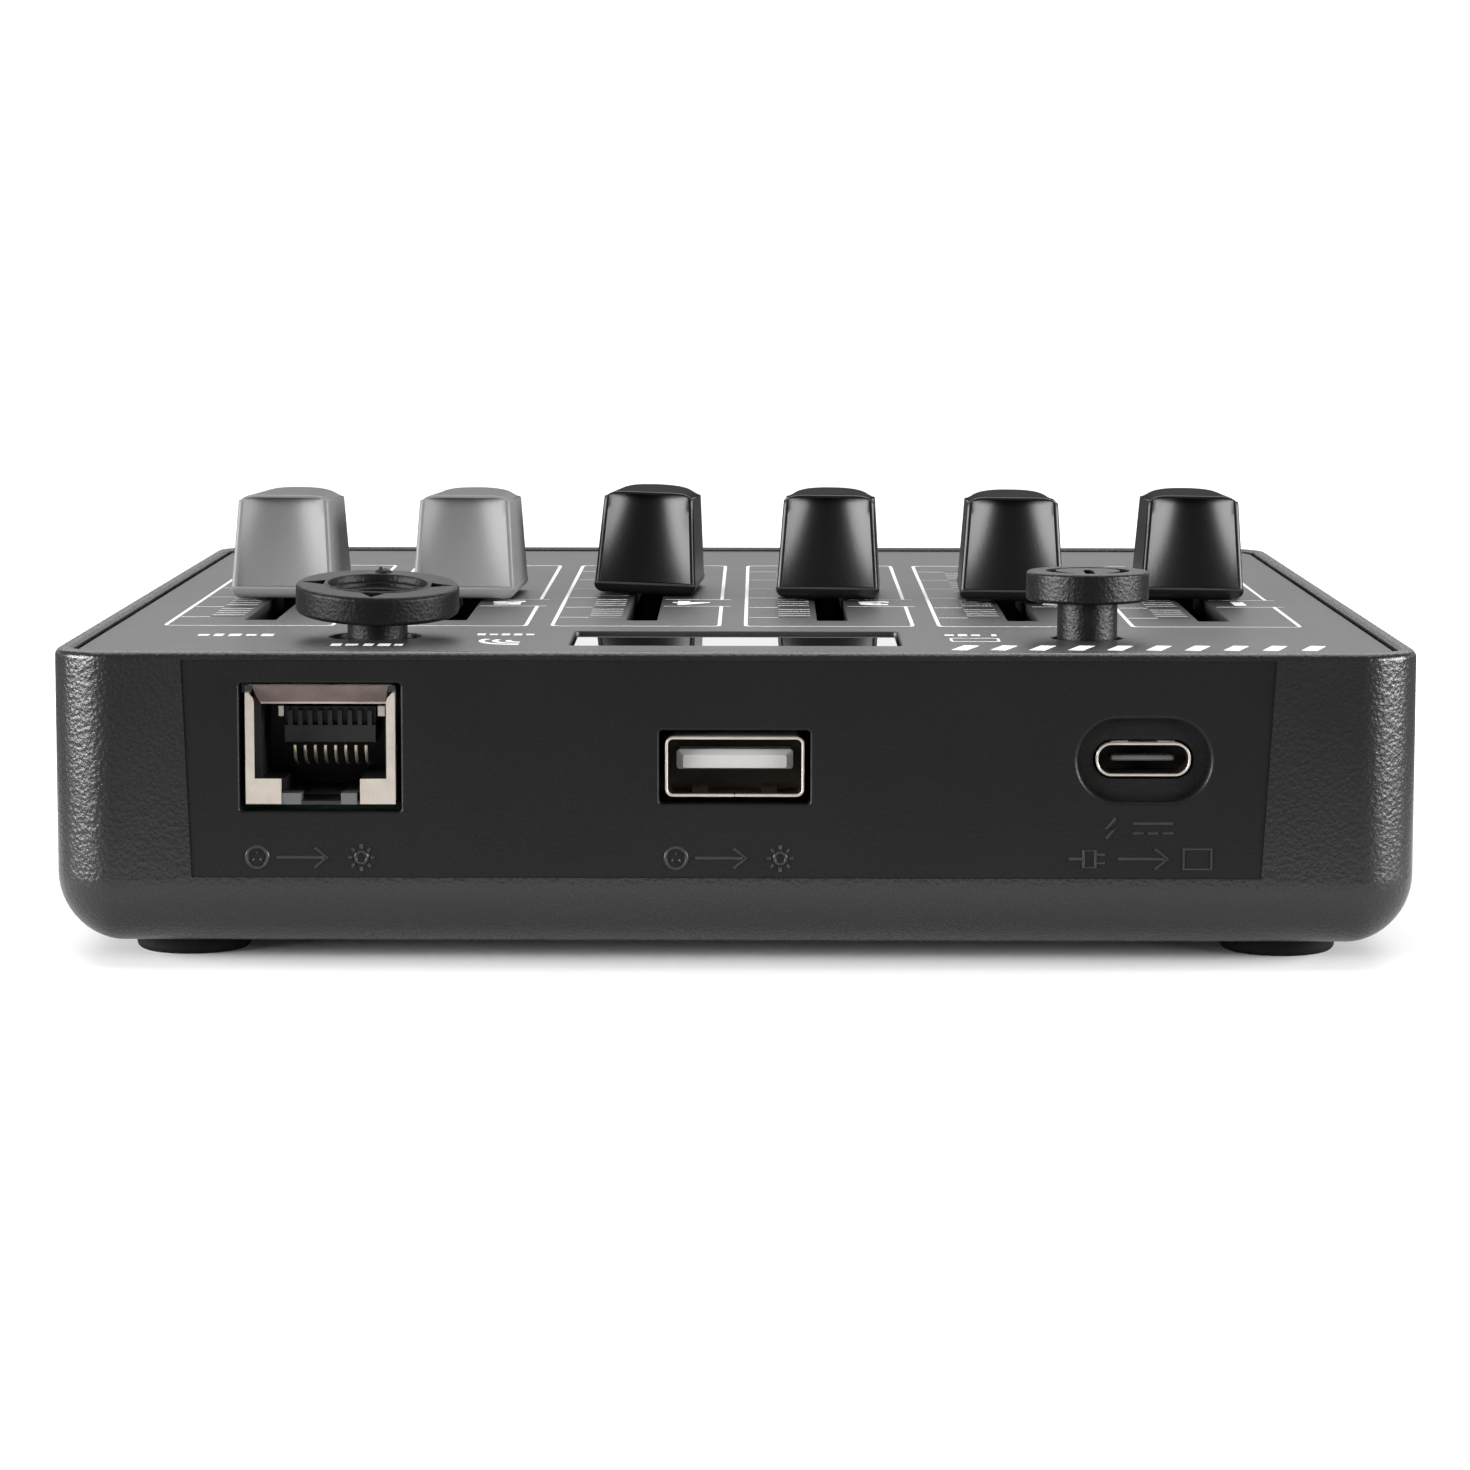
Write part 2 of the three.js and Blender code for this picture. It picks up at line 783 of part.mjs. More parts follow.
// Shallow bowl of the stick with its rings, as profile points from the rim to the middle
function dishOutline(top) {
  const points = [vec(dishRadius, top)];
  for (let step = 0; step < dishSteps; step += 1) {
    const outer = dishRadius * (1 - (step + 1 / 4) / (dishSteps + 1));
    const inner = dishRadius * (1 - (step + 1) / (dishSteps + 1));
    const z = top - dishDepth * Math.sin(((step + 1) / (dishSteps + 1)) * quarterTurn);
    points.push(vec(outer, z), vec(inner, z));
  }
  points.push(vec(0, top - dishDepth));
  return points;
}

function arrowCut(turns, top) {
  const shape = new THREE.Shape([
    vec(arrowReach, 0),
    vec(arrowReach - arrowLength, arrowWidth / 2),
    vec(arrowReach - arrowLength, -arrowWidth / 2),
  ]);
  const geometry = extruded(shape, arrowDepth + overrun);
  geometry.rotateZ(turns * quarterTurn);
  geometry.translate(0, 0, top - arrowDepth);
  return solid(geometry);
}

// Disc of the stick about its own middle, before it leans
function stickDisc() {
  const top = stickDiscThickness;
  const outline = [
    vec(0, 0),
    vec(stickDiscRadius - stickEdge, 0),
    vec(stickDiscRadius, stickEdge),
    vec(stickDiscRadius, top - stickEdge),
    vec(stickDiscRadius - stickEdge, top),
    ...dishOutline(top),
  ];
  const arrows = [0, 2, 3].map((turns) => arrowCut(turns, top));
  return joined(without(turned(outline, 0, 0), ...arrows), pip(top));
}

// Small raised dot on the far side of the disc, where a finger feels it
function pip(top) {
  const geometry = new THREE.SphereGeometry(pipRadius, pipSides, pipSides / 2);
  geometry.rotateX(quarterTurn);
  geometry.translate(0, (dishRadius + stickDiscRadius) / 2, top - pipRadius / 4);
  return solid(geometry);
}

function stickCap() {
  const low = panelTop + stickDiscLift;
  const lean = new THREE.Matrix4().makeRotationX(degrees(stickLean));
  lean.setPosition(stickX, stickY, low);
  const disc = stickDisc().transform(lean.elements);
  const hubLow = switchTop + coverThickness + seatGap + overrun;
  const hub = drum(stickX, stickY, stickHubRadius, hubLow, low + stickDiscThickness / 2);
  const bore = drum(stickX, stickY, stemRadius + seatGap, hubLow - overrun, stemTop + seatGap);
  return without(joined(disc, hub), bore);
}

function stickStem() {
  const stem = drum(stickX, stickY, stemRadius, pivotHeight - stemFoot, stemTop);
  const pin = axle(stickX, stickY, pivotHeight, trunnionRadius, 2 * (ringRadius - slideGap), false);
  return joined(stem, pin);
}

// Gimbal ring: rocks on the tray's ears, and carries the stem's cross pin
function stickRing() {
  const low = pivotHeight - ringHeight / 2;
  const high = pivotHeight + ringHeight / 2;
  const outer = drum(stickX, stickY, ringRadius, low, high);
  const inner = drum(stickX, stickY, ringRadius - ringWall, low - overrun, high + overrun);
  const pinLength = 2 * (earReach() + earThickness);
  const pins = axle(stickX, stickY, pivotHeight, trunnionRadius, pinLength, true);
  const pinHole = axle(stickX, stickY, pivotHeight, trunnionRadius + slideGap, 3 * ringRadius, false);
  return without(joined(outer, pins), inner, pinHole);
}

function earReach() {
  return ringRadius + seatGap;
}

// Sliding tray of the stick switch with the two ears that hold the ring
function stickTray() {
  const low = boardTop + seatGap + trayLift;
  const high = low + trayThickness;
  const side = switchSide - 2 * switchWall - 2 * seatGap;
  const tray = plate(roundedShape(side, side, switchWall), stickX, stickY, low, high);
  const ears = [-1, 1].map((sign) => {
    const x = stickX + sign * (earReach() + earThickness / 2);
    return block(x, stickY, earThickness, earWidth, low + trayThickness / 2, pivotHeight + earRise);
  });
  const hole = axle(stickX, stickY, pivotHeight, trunnionRadius + slideGap, switchSide, true);
  return without(joined(tray, ...ears), hole);
}

function stickSwitchBase() {
  const low = boardTop + seatGap;
  const room = switchSide - 2 * switchWall;
  const shell = plate(roundedShape(switchSide, switchSide, switchWall), stickX, stickY, low, switchTop);
  const inside = block(stickX, stickY, room, room, low + switchWall, switchTop + overrun);
  return without(shell, inside);
}

function stickSwitchCover() {
  const low = switchTop + seatGap;
  const outline = roundedShape(switchSide, switchSide, switchWall);
  const sheet = plate(outline, stickX, stickY, low, low + coverThickness);
  return without(sheet, drum(stickX, stickY, coverHoleRadius, low - overrun, low + 2 * overrun));
}

// Power sign: a ring with a gap towards the socket face, and a short bar in the gap
function powerSign(x, y, low, high) {
  const start = -quarterTurn + degrees(signGapDegrees / 2);
  const end = 3 * quarterTurn - degrees(signGapDegrees / 2);
  const ring = new THREE.Shape();
  ring.absarc(0, 0, signRadius + signWidth / 2, start, end, false);
  ring.absarc(0, 0, signRadius - signWidth / 2, end, start, true);
  ring.closePath();
  const geometry = extruded(ring, high - low, signSteps);
  geometry.translate(x, y, low);
  const bar = block(x, y - signRadius, signWidth, signBarLength, low, high);
  return joined(solid(geometry), bar);
}

function powerCap() {
  const low = panelTop + powerDiscLift;
  const top = low + powerDiscThickness;
  const outline = [
    vec(0, low),
    vec(powerDiscRadius - powerEdge, low),
    vec(powerDiscRadius, low + powerEdge),
    vec(powerDiscRadius, top - powerEdge),
    vec(powerDiscRadius - powerEdge / 4, top - powerEdge / 4),
    vec(powerDiscRadius - powerEdge, top),
    vec(0, top),
  ];
  const disc = turned(outline, powerX, powerY);
  const hubLow = powerSwitchTop + powerPress + seatGap;
  const hub = drum(powerX, powerY, powerHubRadius, hubLow, low + powerDiscThickness / 2);
  const bore = drum(powerX, powerY, plungerRadius + seatGap, hubLow - overrun, plungerTop + seatGap);
  const sign = powerSign(powerX, powerY, top - signDepth, top + overrun);
  return without(joined(disc, hub), bore, sign);
}

const powerSwitchTop = boardTop + seatGap + powerSwitchHeight;

function powerPlunger() {
  const low = boardTop + seatGap + switchWall + powerPress + seatGap;
  const flange = drum(powerX, powerY, plungerRadius + switchWall, low, low + switchWall);
  return joined(flange, drum(powerX, powerY, plungerRadius, low, plungerTop));
}

function powerSwitch() {
  const low = boardTop + seatGap;
  const shape = roundedShape(powerSwitchSide, powerSwitchSide, switchWall);
  const shell = plate(shape, powerX, powerY, low, powerSwitchTop);
  const roomRadius = plungerRadius + switchWall + seatGap;
  const room = drum(powerX, powerY, roomRadius, low + switchWall, powerSwitchTop - switchWall);
  const throat = drum(powerX, powerY, plungerRadius + seatGap, low + switchWall, powerSwitchTop + overrun);
  return without(shell, room, throat);
}

// Network socket
const netLow = boardTop + seatGap - slideGap;
const netFront = faceY + netFrontBack;
const netBackEnd = netFront + netLength;

// Front opening, drawn about the middle of the bottom edge
function netOpening(side, key, bottom, step, top) {
  const half = side / 2;
  const keyHalf = key / 2;
  return new THREE.Shape([
    vec(-keyHalf, bottom),
    vec(keyHalf, bottom),
    vec(keyHalf, step),
    vec(half, step),
    vec(half, top),
    vec(-half, top),
    vec(-half, step),
    vec(-keyHalf, step),
  ]);
}

function boxOutline(width, low, high) {
  return new THREE.Shape([
    vec(-width / 2, low),
    vec(width / 2, low),
    vec(width / 2, high),
    vec(-width / 2, high),
  ]);
}

// Shield: open box of thin sheet with a front frame and a roof that slopes into the socket
function netShield() {
  const skin = rail(boxOutline(netWidth, 0, netHeight), netX, netLow, netFront, netBackEnd);
  const room = boxOutline(netWidth - 2 * netSheet, netSheet, netHeight - netSheet);
  const inside = rail(room, netX, netLow, netFront + netLip, netBackEnd - netSheet);
  const top = netHeight - netSheet;
  const opening = netOpening(netOpenWidth, netKeyWidth, -overrun, netOpenBottom, top);
  const mouth = rail(opening, netX, netLow, netFront - overrun, netFront + netLip + slideGap);
  const roof = new THREE.Shape([
    vec(0, netHeight - netSheet / 2),
    vec(0, netHeight - 2 * netSheet),
    vec(netRoofRun, netOpenTop),
    vec(netRoofRun, netOpenTop + netSheet),
  ]);
  const slope = beam(roof, netX, netFront, netLow, netOpenWidth + netLip);
  return joined(without(skin, inside, mouth), slope);
}

// Black insulator of the network socket: a block with the plug cavity and its keyway
function netInsulator() {
  const front = netFront + netRoofRun + seatGap;
  const back = netBackEnd - netSheet - seatGap;
  const outerWidth = netWidth - 2 * netSheet - 2 * seatGap;
  const low = netSheet + seatGap;
  const high = netHeight - netSheet - seatGap;
  const body = rail(boxOutline(outerWidth, low, high), netX, netLow, front, back);
  const cavity = netOpening(netOpenWidth - 2 * slideGap, netKeyWidth, netKeyStep, netOpenBottom, netOpenTop);
  const room = rail(cavity, netX, netLow, front - overrun, netFront + netCavityLength);
  const key = boxOutline(netInnerKeyWidth, low - overrun, netOpenBottom);
  const keyway = rail(key, netX, netLow, front - overrun, netFront + netCavityLength);
  return without(body, room, keyway);
}

// Comb with its row of spring contacts, which slope back and down out of the comb
function netContacts() {
  const front = netFront + netCombFront;
  const back = netFront + netCavityLength - seatGap;
  const width = netPinCount * netPinPitch + 2 * netPinSide;
  const top = netOpenTop - seatGap;
  const comb = rail(boxOutline(width, netCombBottom, top), netX, netLow, front, back);
  const pins = [];
  for (let pin = 0; pin < netPinCount; pin += 1) {
    pins.push(netPin(netX + (pin - (netPinCount - 1) / 2) * netPinPitch, front));
  }
  return joined(comb, ...pins);
}

function netPin(x, front) {
  const root = netCombBottom + netPinSide;
  const outline = new THREE.Shape([
    vec(0, root),
    vec(0, root - 2 * netPinSide),
    vec(netPinRun, root - netPinDrop - netPinSide),
    vec(netPinRun, root - netPinDrop),
    vec(netPinSide, root),
  ]);
  return beam(outline, x, front + netPinSide, netLow, netPinSide);
}

// USB type A socket
const usbFront = faceY + usbFrontBack;
const usbBackEnd = usbFront + usbLength;

function usbShell() {
  const outer = roundedShape(usbWidth, usbHeight, usbCorner);
  const inner = roundedShape(usbWidth - 2 * usbSheet, usbHeight - 2 * usbSheet, usbCorner - usbSheet);
  const skin = rail(outer, usbX, usbMiddle, usbFront, usbBackEnd);
  const inside = rail(inner, usbX, usbMiddle, usbFront - overrun, usbBackEnd - usbSheet);
  const legs = [-1, 1].map((sign) => {
    const x = usbX + sign * (usbWidth / 2 - usbLegWidth / 2 - usbCorner);
    const top = usbMiddle - usbHeight / 2 + usbSheet / 2;
    return block(x, usbBackEnd - usbLegDepth, usbLegWidth, usbLegDepth, boardTop + slideGap, top);
  });
  return joined(without(skin, inside), ...legs);
}

function usbTongue() {
  const back = usbBackEnd - usbSheet - seatGap;
  const top = usbMiddle + tongueTop;
  const y = (usbFront + tongueFront + back) / 2;
  const length = back - usbFront - tongueFront;
  const tongue = block(usbX, y, tongueWidth, length, top - tongueThickness, top);
  const rootWidth = usbWidth - 2 * usbSheet - 2 * seatGap;
  const rootHalf = usbHeight / 2 - usbSheet - seatGap;
  const rootY = back - tongueRoot / 2;
  const root = block(usbX, rootY, rootWidth, tongueRoot, usbMiddle - rootHalf, usbMiddle + rootHalf);
  return joined(tongue, root);
}

// USB type C socket, raised on a moulded base
const powerInFront = faceY + powerInFrontBack;
const powerInBackEnd = powerInFront + powerInLength;

function pill(width, height) {
  return roundedShape(width, height, height * pillCornerShare);
}

function powerInShell() {
  const outer = pill(powerInWidth, powerInHeight);
  const inner = pill(powerInWidth - 2 * powerInSheet, powerInHeight - 2 * powerInSheet);
  const skin = rail(outer, powerInX, powerInMiddle, powerInFront, powerInBackEnd, pillSteps);
  const insideEnd = powerInBackEnd - powerInSheet;
  return without(skin, rail(inner, powerInX, powerInMiddle, powerInFront - overrun, insideEnd, pillSteps));
}

function powerInBlade() {
  const back = powerInBackEnd - powerInSheet - seatGap;
  const length = back - powerInFront - bladeFront;
  const y = back - length / 2;
  const low = powerInMiddle - blade / 2;
  const tongue = block(powerInX, y, bladeWidth, length, low, low + blade);
  const rootHeight = powerInHeight - 2 * powerInSheet - 2 * seatGap;
  const rootWidth = powerInWidth - 2 * powerInSheet - 2 * seatGap;
  const root = rail(pill(rootWidth, rootHeight), powerInX, powerInMiddle, back - bladeRoot, back);
  return joined(tongue, root);
}

function powerInBase() {
  const top = powerInMiddle - powerInHeight / 2 - slideGap;
  const y = powerInBackEnd - powerInBaseLength / 2;
  return block(powerInX, y, powerInBaseWidth, powerInBaseLength, boardTop + slideGap, top);
}

// Battery on its pad, and the radio on the main board
function batteryPad() {
  const shape = roundedShape(batteryWidth * padShare, batteryDepth * padShare, batteryCorner);
  return plate(shape, 0, batteryY, innerFloor + slideGap, innerFloor + slideGap + padThickness);
}

function battery() {
  const low = innerFloor + 2 * slideGap + padThickness;
  const shape = roundedShape(batteryWidth, batteryDepth, batteryCorner);
  return plate(shape, 0, batteryY, low, low + batteryThickness);
}

// Battery lead: from the far end of the battery to the near side of its socket
const batteryEnd = batteryY + batteryDepth / 2;
const batteryMiddle = innerFloor + 2 * slideGap + padThickness + batteryThickness / 2;
const batterySocketNear = batteryEnd + leadSpan;
const batterySocketTop = boardUnder - slideGap;

function batteryLead() {
  const start = new THREE.Vector3(leadX, batteryEnd + seatGap, batteryMiddle);
  const endHeight = batterySocketTop - batterySocketHeight / 2;
  const end = new THREE.Vector3(leadX + leadSway, batterySocketNear - seatGap, endHeight);
  const reach = new THREE.Vector3(0, leadSpan / 2, 0);
  const path = new THREE.CubicBezierCurve3(start, start.clone().add(reach), end.clone().sub(reach), end);
  const section = new THREE.Shape();
  section.absarc(0, 0, leadRadius, 0, 2 * Math.PI);
  const settings = { steps: leadSteps, curveSegments: leadSides / 2, bevelEnabled: false, extrudePath: path };
  return solid(new THREE.ExtrudeGeometry(section, settings));
}

function batterySocket() {
  const low = batterySocketTop - batterySocketHeight;
  const y = batterySocketNear + batterySocketDepth / 2;
  return block(leadX + leadSway, y, batterySocketWidth, batterySocketDepth, low, batterySocketTop);
}

const radioLow = boardTop + slideGap;
const radioTop = radioLow + radioThickness;

function radioBoard() {
  const shape = roundedShape(radioWidth, radioDepth, windowCorner);
  return plate(shape, radioX, radioY, radioLow, radioTop);
}

function radioCan() {
  const low = radioTop + slideGap;
  const x = radioX - canShift;
  const skin = plate(roundedShape(canWidth, canDepth, windowCorner), x, radioY, low, low + canHeight);
  const roomTop = low + canHeight - canSheet;
  const room = block(x, radioY, canWidth - 2 * canSheet, canDepth - 2 * canSheet, low - overrun, roomTop);
  return without(skin, room);
}

const blackPlastic = material(0x2c2c2d, 0.55);
const panelBlack = material(0x3a3b3d, 0.5);
const greyGloss = material(0x9c9c9c, 0.35);
const blackGloss = material(0x1c1c1d, 0.3);
const darkRubber = material(0x181818, 0.8);
const boardGreen = material(0x1f5a38, 0.6);
const nickel = material(0xc9c2b8, 0.3, 1);
const zinc = material(0xb8babd, 0.4, 1);
const ivory = material(0xe6e3da, 0.5);
const lensDark = material(0x0c0d10, 0.08);
const insulator = material(0x111112, 0.6);
const foilSilver = material(0xa9adb2, 0.45, 0.6);
const foam = material(0x2f2f33, 0.95);
const redSleeve = material(0x8c1f1c, 0.5);

function addHousing() {
  addPiece("housing_tub", housingTub(), blackPlastic);
  addPiece("top_panel", topPanel(), panelBlack);
  addPiece("main_board", mainBoard(), boardGreen);
  eachCorner((x, y, number) => addPiece(`case_screw_${number}`, caseScrew(x, y), zinc));
  eachCorner((x, y, number) => addPiece(`foot_${number}`, foot(x, y), darkRubber));
}

function addDisplay() {
  addPiece("display_window", displayWindow(), lensDark);
  addPiece("display_glass", displayGlass(), lensDark);
  addPiece("display_board", displayBoard(), boardGreen);
  addPiece("display_header", displayHeader(), insulator);
}

function addFaders() {
  eachFader((x, y, number) => {
    addPiece(`fader_case_${number}`, faderCase(x), zinc);
    addPiece(`fader_lever_${number}`, faderLever(x, y), insulator);
    addPiece(`fader_cap_${number}`, faderCap(x, y), number <= 2 ? greyGloss : blackGloss);
  });
}

function addStick() {
  addPiece("stick_switch_base", stickSwitchBase(), insulator);
  addPiece("stick_switch_cover", stickSwitchCover(), nickel);
  addPiece("stick_tray", stickTray(), insulator);
  addPiece("stick_ring", stickRing(), nickel);
  addPiece("stick_stem", stickStem(), nickel);
  addPiece("stick_cap", stickCap(), blackPlastic);
}

function addPower() {
  addPiece("power_switch", powerSwitch(), insulator);
  addPiece("power_plunger", powerPlunger(), ivory);
  addPiece("power_cap", powerCap(), blackPlastic);
}

function addSockets() {
  addPiece("network_shield", netShield(), nickel);
  addPiece("network_insulator", netInsulator(), insulator);
  addPiece("network_contacts", netContacts(), insulator);
  addPiece("usb_a_shell", usbShell(), nickel);
  addPiece("usb_a_tongue", usbTongue(), ivory);
  addPiece("usb_c_shell", powerInShell(), nickel);
  addPiece("usb_c_tongue", powerInBlade(), insulator);
  addPiece("usb_c_base", powerInBase(), insulator);
}

function addPowerStore() {
  addPiece("battery_pad", batteryPad(), foam);
  addPiece("battery", battery(), foilSilver);
  addPiece("battery_lead", batteryLead(), redSleeve);
  addPiece("battery_socket", batterySocket(), ivory);
  addPiece("radio_board", radioBoard(), boardGreen);
  addPiece("radio_can", radioCan(), nickel);
}

addHousing();
addDisplay();
addFaders();
addStick();
addPower();
addSockets();
addPowerStore();

export default group;
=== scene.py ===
# Looks of the wireless lighting controller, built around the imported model.
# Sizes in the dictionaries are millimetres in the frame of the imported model.
import functools
import math

import bmesh
import bpy
import numpy as np
from mathutils import Matrix, Vector, geometry


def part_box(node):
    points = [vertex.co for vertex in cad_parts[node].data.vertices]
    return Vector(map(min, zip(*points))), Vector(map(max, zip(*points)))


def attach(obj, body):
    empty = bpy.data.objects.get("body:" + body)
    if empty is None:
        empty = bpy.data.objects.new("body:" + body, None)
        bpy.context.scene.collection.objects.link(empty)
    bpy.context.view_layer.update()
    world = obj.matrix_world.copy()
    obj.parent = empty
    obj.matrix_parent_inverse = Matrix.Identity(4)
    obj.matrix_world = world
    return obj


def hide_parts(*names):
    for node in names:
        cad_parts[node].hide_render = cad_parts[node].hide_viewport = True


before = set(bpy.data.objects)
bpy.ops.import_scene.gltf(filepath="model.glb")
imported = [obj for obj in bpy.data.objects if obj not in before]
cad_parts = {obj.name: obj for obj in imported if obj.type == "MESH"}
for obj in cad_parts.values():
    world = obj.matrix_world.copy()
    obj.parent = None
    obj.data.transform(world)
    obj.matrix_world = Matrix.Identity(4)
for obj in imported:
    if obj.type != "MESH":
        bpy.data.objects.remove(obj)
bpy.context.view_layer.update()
print("frame loaded:", len(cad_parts), "nodes")

millimetre = 0.001
weldDistance = 2e-6  # metres
quarter = math.pi / 2
boxFaces = np.array([[0, 3, 2, 1], [4, 5, 6, 7], [0, 1, 5, 4], [1, 2, 6, 5], [2, 3, 7, 6], [3, 0, 4, 7]])
scene = bpy.context.scene


# helpers for shapes


def boxMm(node):
    return [np.array(corner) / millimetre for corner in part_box(node)]


def roundRows(halfX, halfY, radius, level, middle=(0, 0), steps=6):
    # rounded rectangle for each row: corner middles plus radius times (cos, sin) of the turn
    sizes = np.broadcast_arrays(*np.atleast_1d(halfX, halfY, radius, level))
    halfX, halfY, radius, level = (size[:, None, None].astype(float) for size in sizes)
    turn = np.linspace(0, quarter, steps + 1) + quarter * np.arange(4)[:, None]
    signX, signY = np.array([[1, -1, -1, 1], [1, 1, -1, -1]])[:, :, None]
    x = middle[0] + signX * (halfX - radius) + radius * np.cos(turn)
    y = middle[1] + signY * (halfY - radius) + radius * np.sin(turn)
    return np.stack([x, y, level + 0 * x], -1).reshape(len(level), -1, 3)


def circleRows(radius, level, middle=(0, 0), steps=64):
    # circle for each row: radius times (cos, sin) around the middle, at that row's level
    radius, level = (size[:, None] for size in np.broadcast_arrays(*np.atleast_1d(radius, level)))
    turn = np.arange(steps) * 2 * math.pi / steps
    x = middle[0] + radius * np.cos(turn)
    return np.stack([x, middle[1] + radius * np.sin(turn), level + 0 * x], -1)


def arc(x, y, radius, start, end, steps=14):
    # points on a circle between two angles in degrees
    turn = np.radians(np.linspace(start, end, steps))
    return np.column_stack([x + radius * np.cos(turn), y + radius * np.sin(turn)])


def turnBy(*turns):
    # one turn after another, from the last to the first, each an angle in degrees about an axis
    turned = [np.array(Matrix.Rotation(math.radians(angle), 3, axis)) for angle, axis in turns]
    return functools.reduce(np.matmul, turned)


def bend(radius, steps=5):
    # quarter rounding: how far in and how far along for each step of the turn
    turn = np.linspace(0, quarter, steps + 1)
    return radius * (1 - np.sin(turn)), radius * (1 - np.cos(turn))


def upright(points, face=0):
    # (across, up, depth) becomes (x, y, z), depth counted from the face
    return np.stack([points[..., 0], face + points[..., 2], points[..., 1]], -1)


def flatAt(level):
    # plan points (x, y) at one height
    return lambda plan: np.column_stack([plan, np.full(len(plan), level)])


def wallAt(level):
    # plan points (across, up) on one upright plane
    return lambda plan: upright(flatAt(level)(plan))


class Shell:
    # gathers the surfaces of one piece in millimetres around an origin, then makes the piece
    def __init__(self, origin=(0, 0, 0)):
        self.origin, self.points, self.faces = origin, [], []

    def add(self, points):
        start = sum(len(group) for group in self.points)
        self.points.append(np.asarray(points, float).reshape(-1, 3))
        return start

    def grid(self, points, keep=None):
        # four-sided faces between the neighbours of a (row, column) grid whose rows are closed loops
        rows, columns = points.shape[:2]
        here = self.add(points) + np.arange(rows * columns).reshape(rows, columns)
        there = np.roll(here, -1, axis=1)
        quads = np.stack([here[:-1], there[:-1], there[1:], here[1:]], -1)
        self.faces.append(quads[keep] if keep is not None else quads.reshape(-1, 4))

    def fill(self, loops, lift):
        # flat face inside the first loop and outside the others; lift puts plan points in space
        flat = np.concatenate([np.asarray(loop, float)[:, :2] for loop in loops])
        ends = np.cumsum([len(loop) for loop in loops])
        rings = [list(range(end - len(loop), end)) for loop, end in zip(loops, ends)]
        found = geometry.delaunay_2d_cdt([Vector(point) for point in flat.tolist()], [], rings, 2, 1e-6)
        start = self.add(lift(np.array([tuple(point) for point in found[0]])))
        self.faces.append(np.array(found[2], int) + start)

    def solid(self, rows, standing=False):
        # loops joined into a solid with both ends filled; standing ones are (across, up, depth)
        place, plane = (upright, wallAt) if standing else (np.asarray, flatAt)
        self.grid(place(rows))
        for row in (rows[0], rows[-1]):
            self.fill([row], plane(row[0, 2]))

    def rod(self, sections):
        # a bar through four-cornered sections, both ends closed
        self.grid(sections)
        start = self.add(sections[[0, -1]])
        self.faces.append(np.array([[0, 1, 2, 3], [7, 6, 5, 4]]) + start)

    def bars(self, x, y, width, depth, low, high, angle=0):
        # many flat bars at once: eight corners each, turned about their own middles
        sizes = np.broadcast_arrays(*np.atleast_1d(x, y, width, depth, angle))
        x, y, width, depth, angle = (size[:, None] for size in sizes)
        sideX, sideY = width * [-0.5, 0.5, 0.5, -0.5], depth * [-0.5, -0.5, 0.5, 0.5]
        planX = x + sideX * np.cos(angle) - sideY * np.sin(angle)
        planY = y + sideX * np.sin(angle) + sideY * np.cos(angle)
        ends = [np.stack([planX, planY, level + 0 * planX], -1) for level in (low, high)]
        start = self.add(np.concatenate(ends, 1))
        self.faces.append((start + 8 * np.arange(len(x))[:, None, None] + boxFaces).reshape(-1, 4))

    def box(self, x, y, z):
        # block between the two ends given for each axis
        self.bars(sum(x) / 2, sum(y) / 2, x[1] - x[0], y[1] - y[0], *z)

    def stroke(self, path, width, low, high, closed=False, top=1.0):
        # a line of constant width: the path moved half a width to each side, with a low and a high face;
        # the high face has this share of the width, so that the sides slope
        path = np.asarray(path, float)
        along = np.roll(path, -1, axis=0) - np.roll(path, 1, axis=0) if closed else np.gradient(path, axis=0)
        along = along / np.linalg.norm(along, axis=1)[:, None]
        across = np.stack([-along[:, 1], along[:, 0]], -1) * width / 2
        edges = ((-across, low), (across, low), (across * top, high), (-across * top, high))
        ring = np.stack([flatAt(level)(path + edge) for edge, level in edges], 1)
        if closed:
            self.grid(np.concatenate([ring, ring[:1]]))
        else:
            self.rod(ring)

    def make(self, name, finish, slot, *nodes, body="base", sharp=30):
        mesh = bpy.data.meshes.new(name)
        faces = [face for group in self.faces for face in group.tolist()]
        points = (np.concatenate(self.points) + self.origin) * millimetre
        mesh.from_pydata(points.tolist(), [], faces)
        belong(pieceFrom(mesh, name, finish, sharp), body, slot, *nodes)


def placed(name, data):
    made = bpy.data.objects.new(name, data)
    scene.collection.objects.link(made)
    return made


def pieceFrom(mesh, name, finish, sharp):
    cleaning = bmesh.new()
    cleaning.from_mesh(mesh)
    bmesh.ops.remove_doubles(cleaning, verts=cleaning.verts, dist=weldDistance)
    bmesh.ops.recalc_face_normals(cleaning, faces=cleaning.faces)
    cleaning.to_mesh(mesh)
    cleaning.free()
    mesh.shade_smooth()
    mesh.set_sharp_from_angle(angle=math.radians(sharp))
    mesh.materials.append(finish)
    piece = placed(name, mesh)
    piece.modifiers.new("evenNormals", "WEIGHTED_NORMAL").keep_sharp = True
    return piece


def belong(piece, body, slot, *nodes):
    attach(piece, body)
    if nodes:
        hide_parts(*nodes)


# helpers for finishes


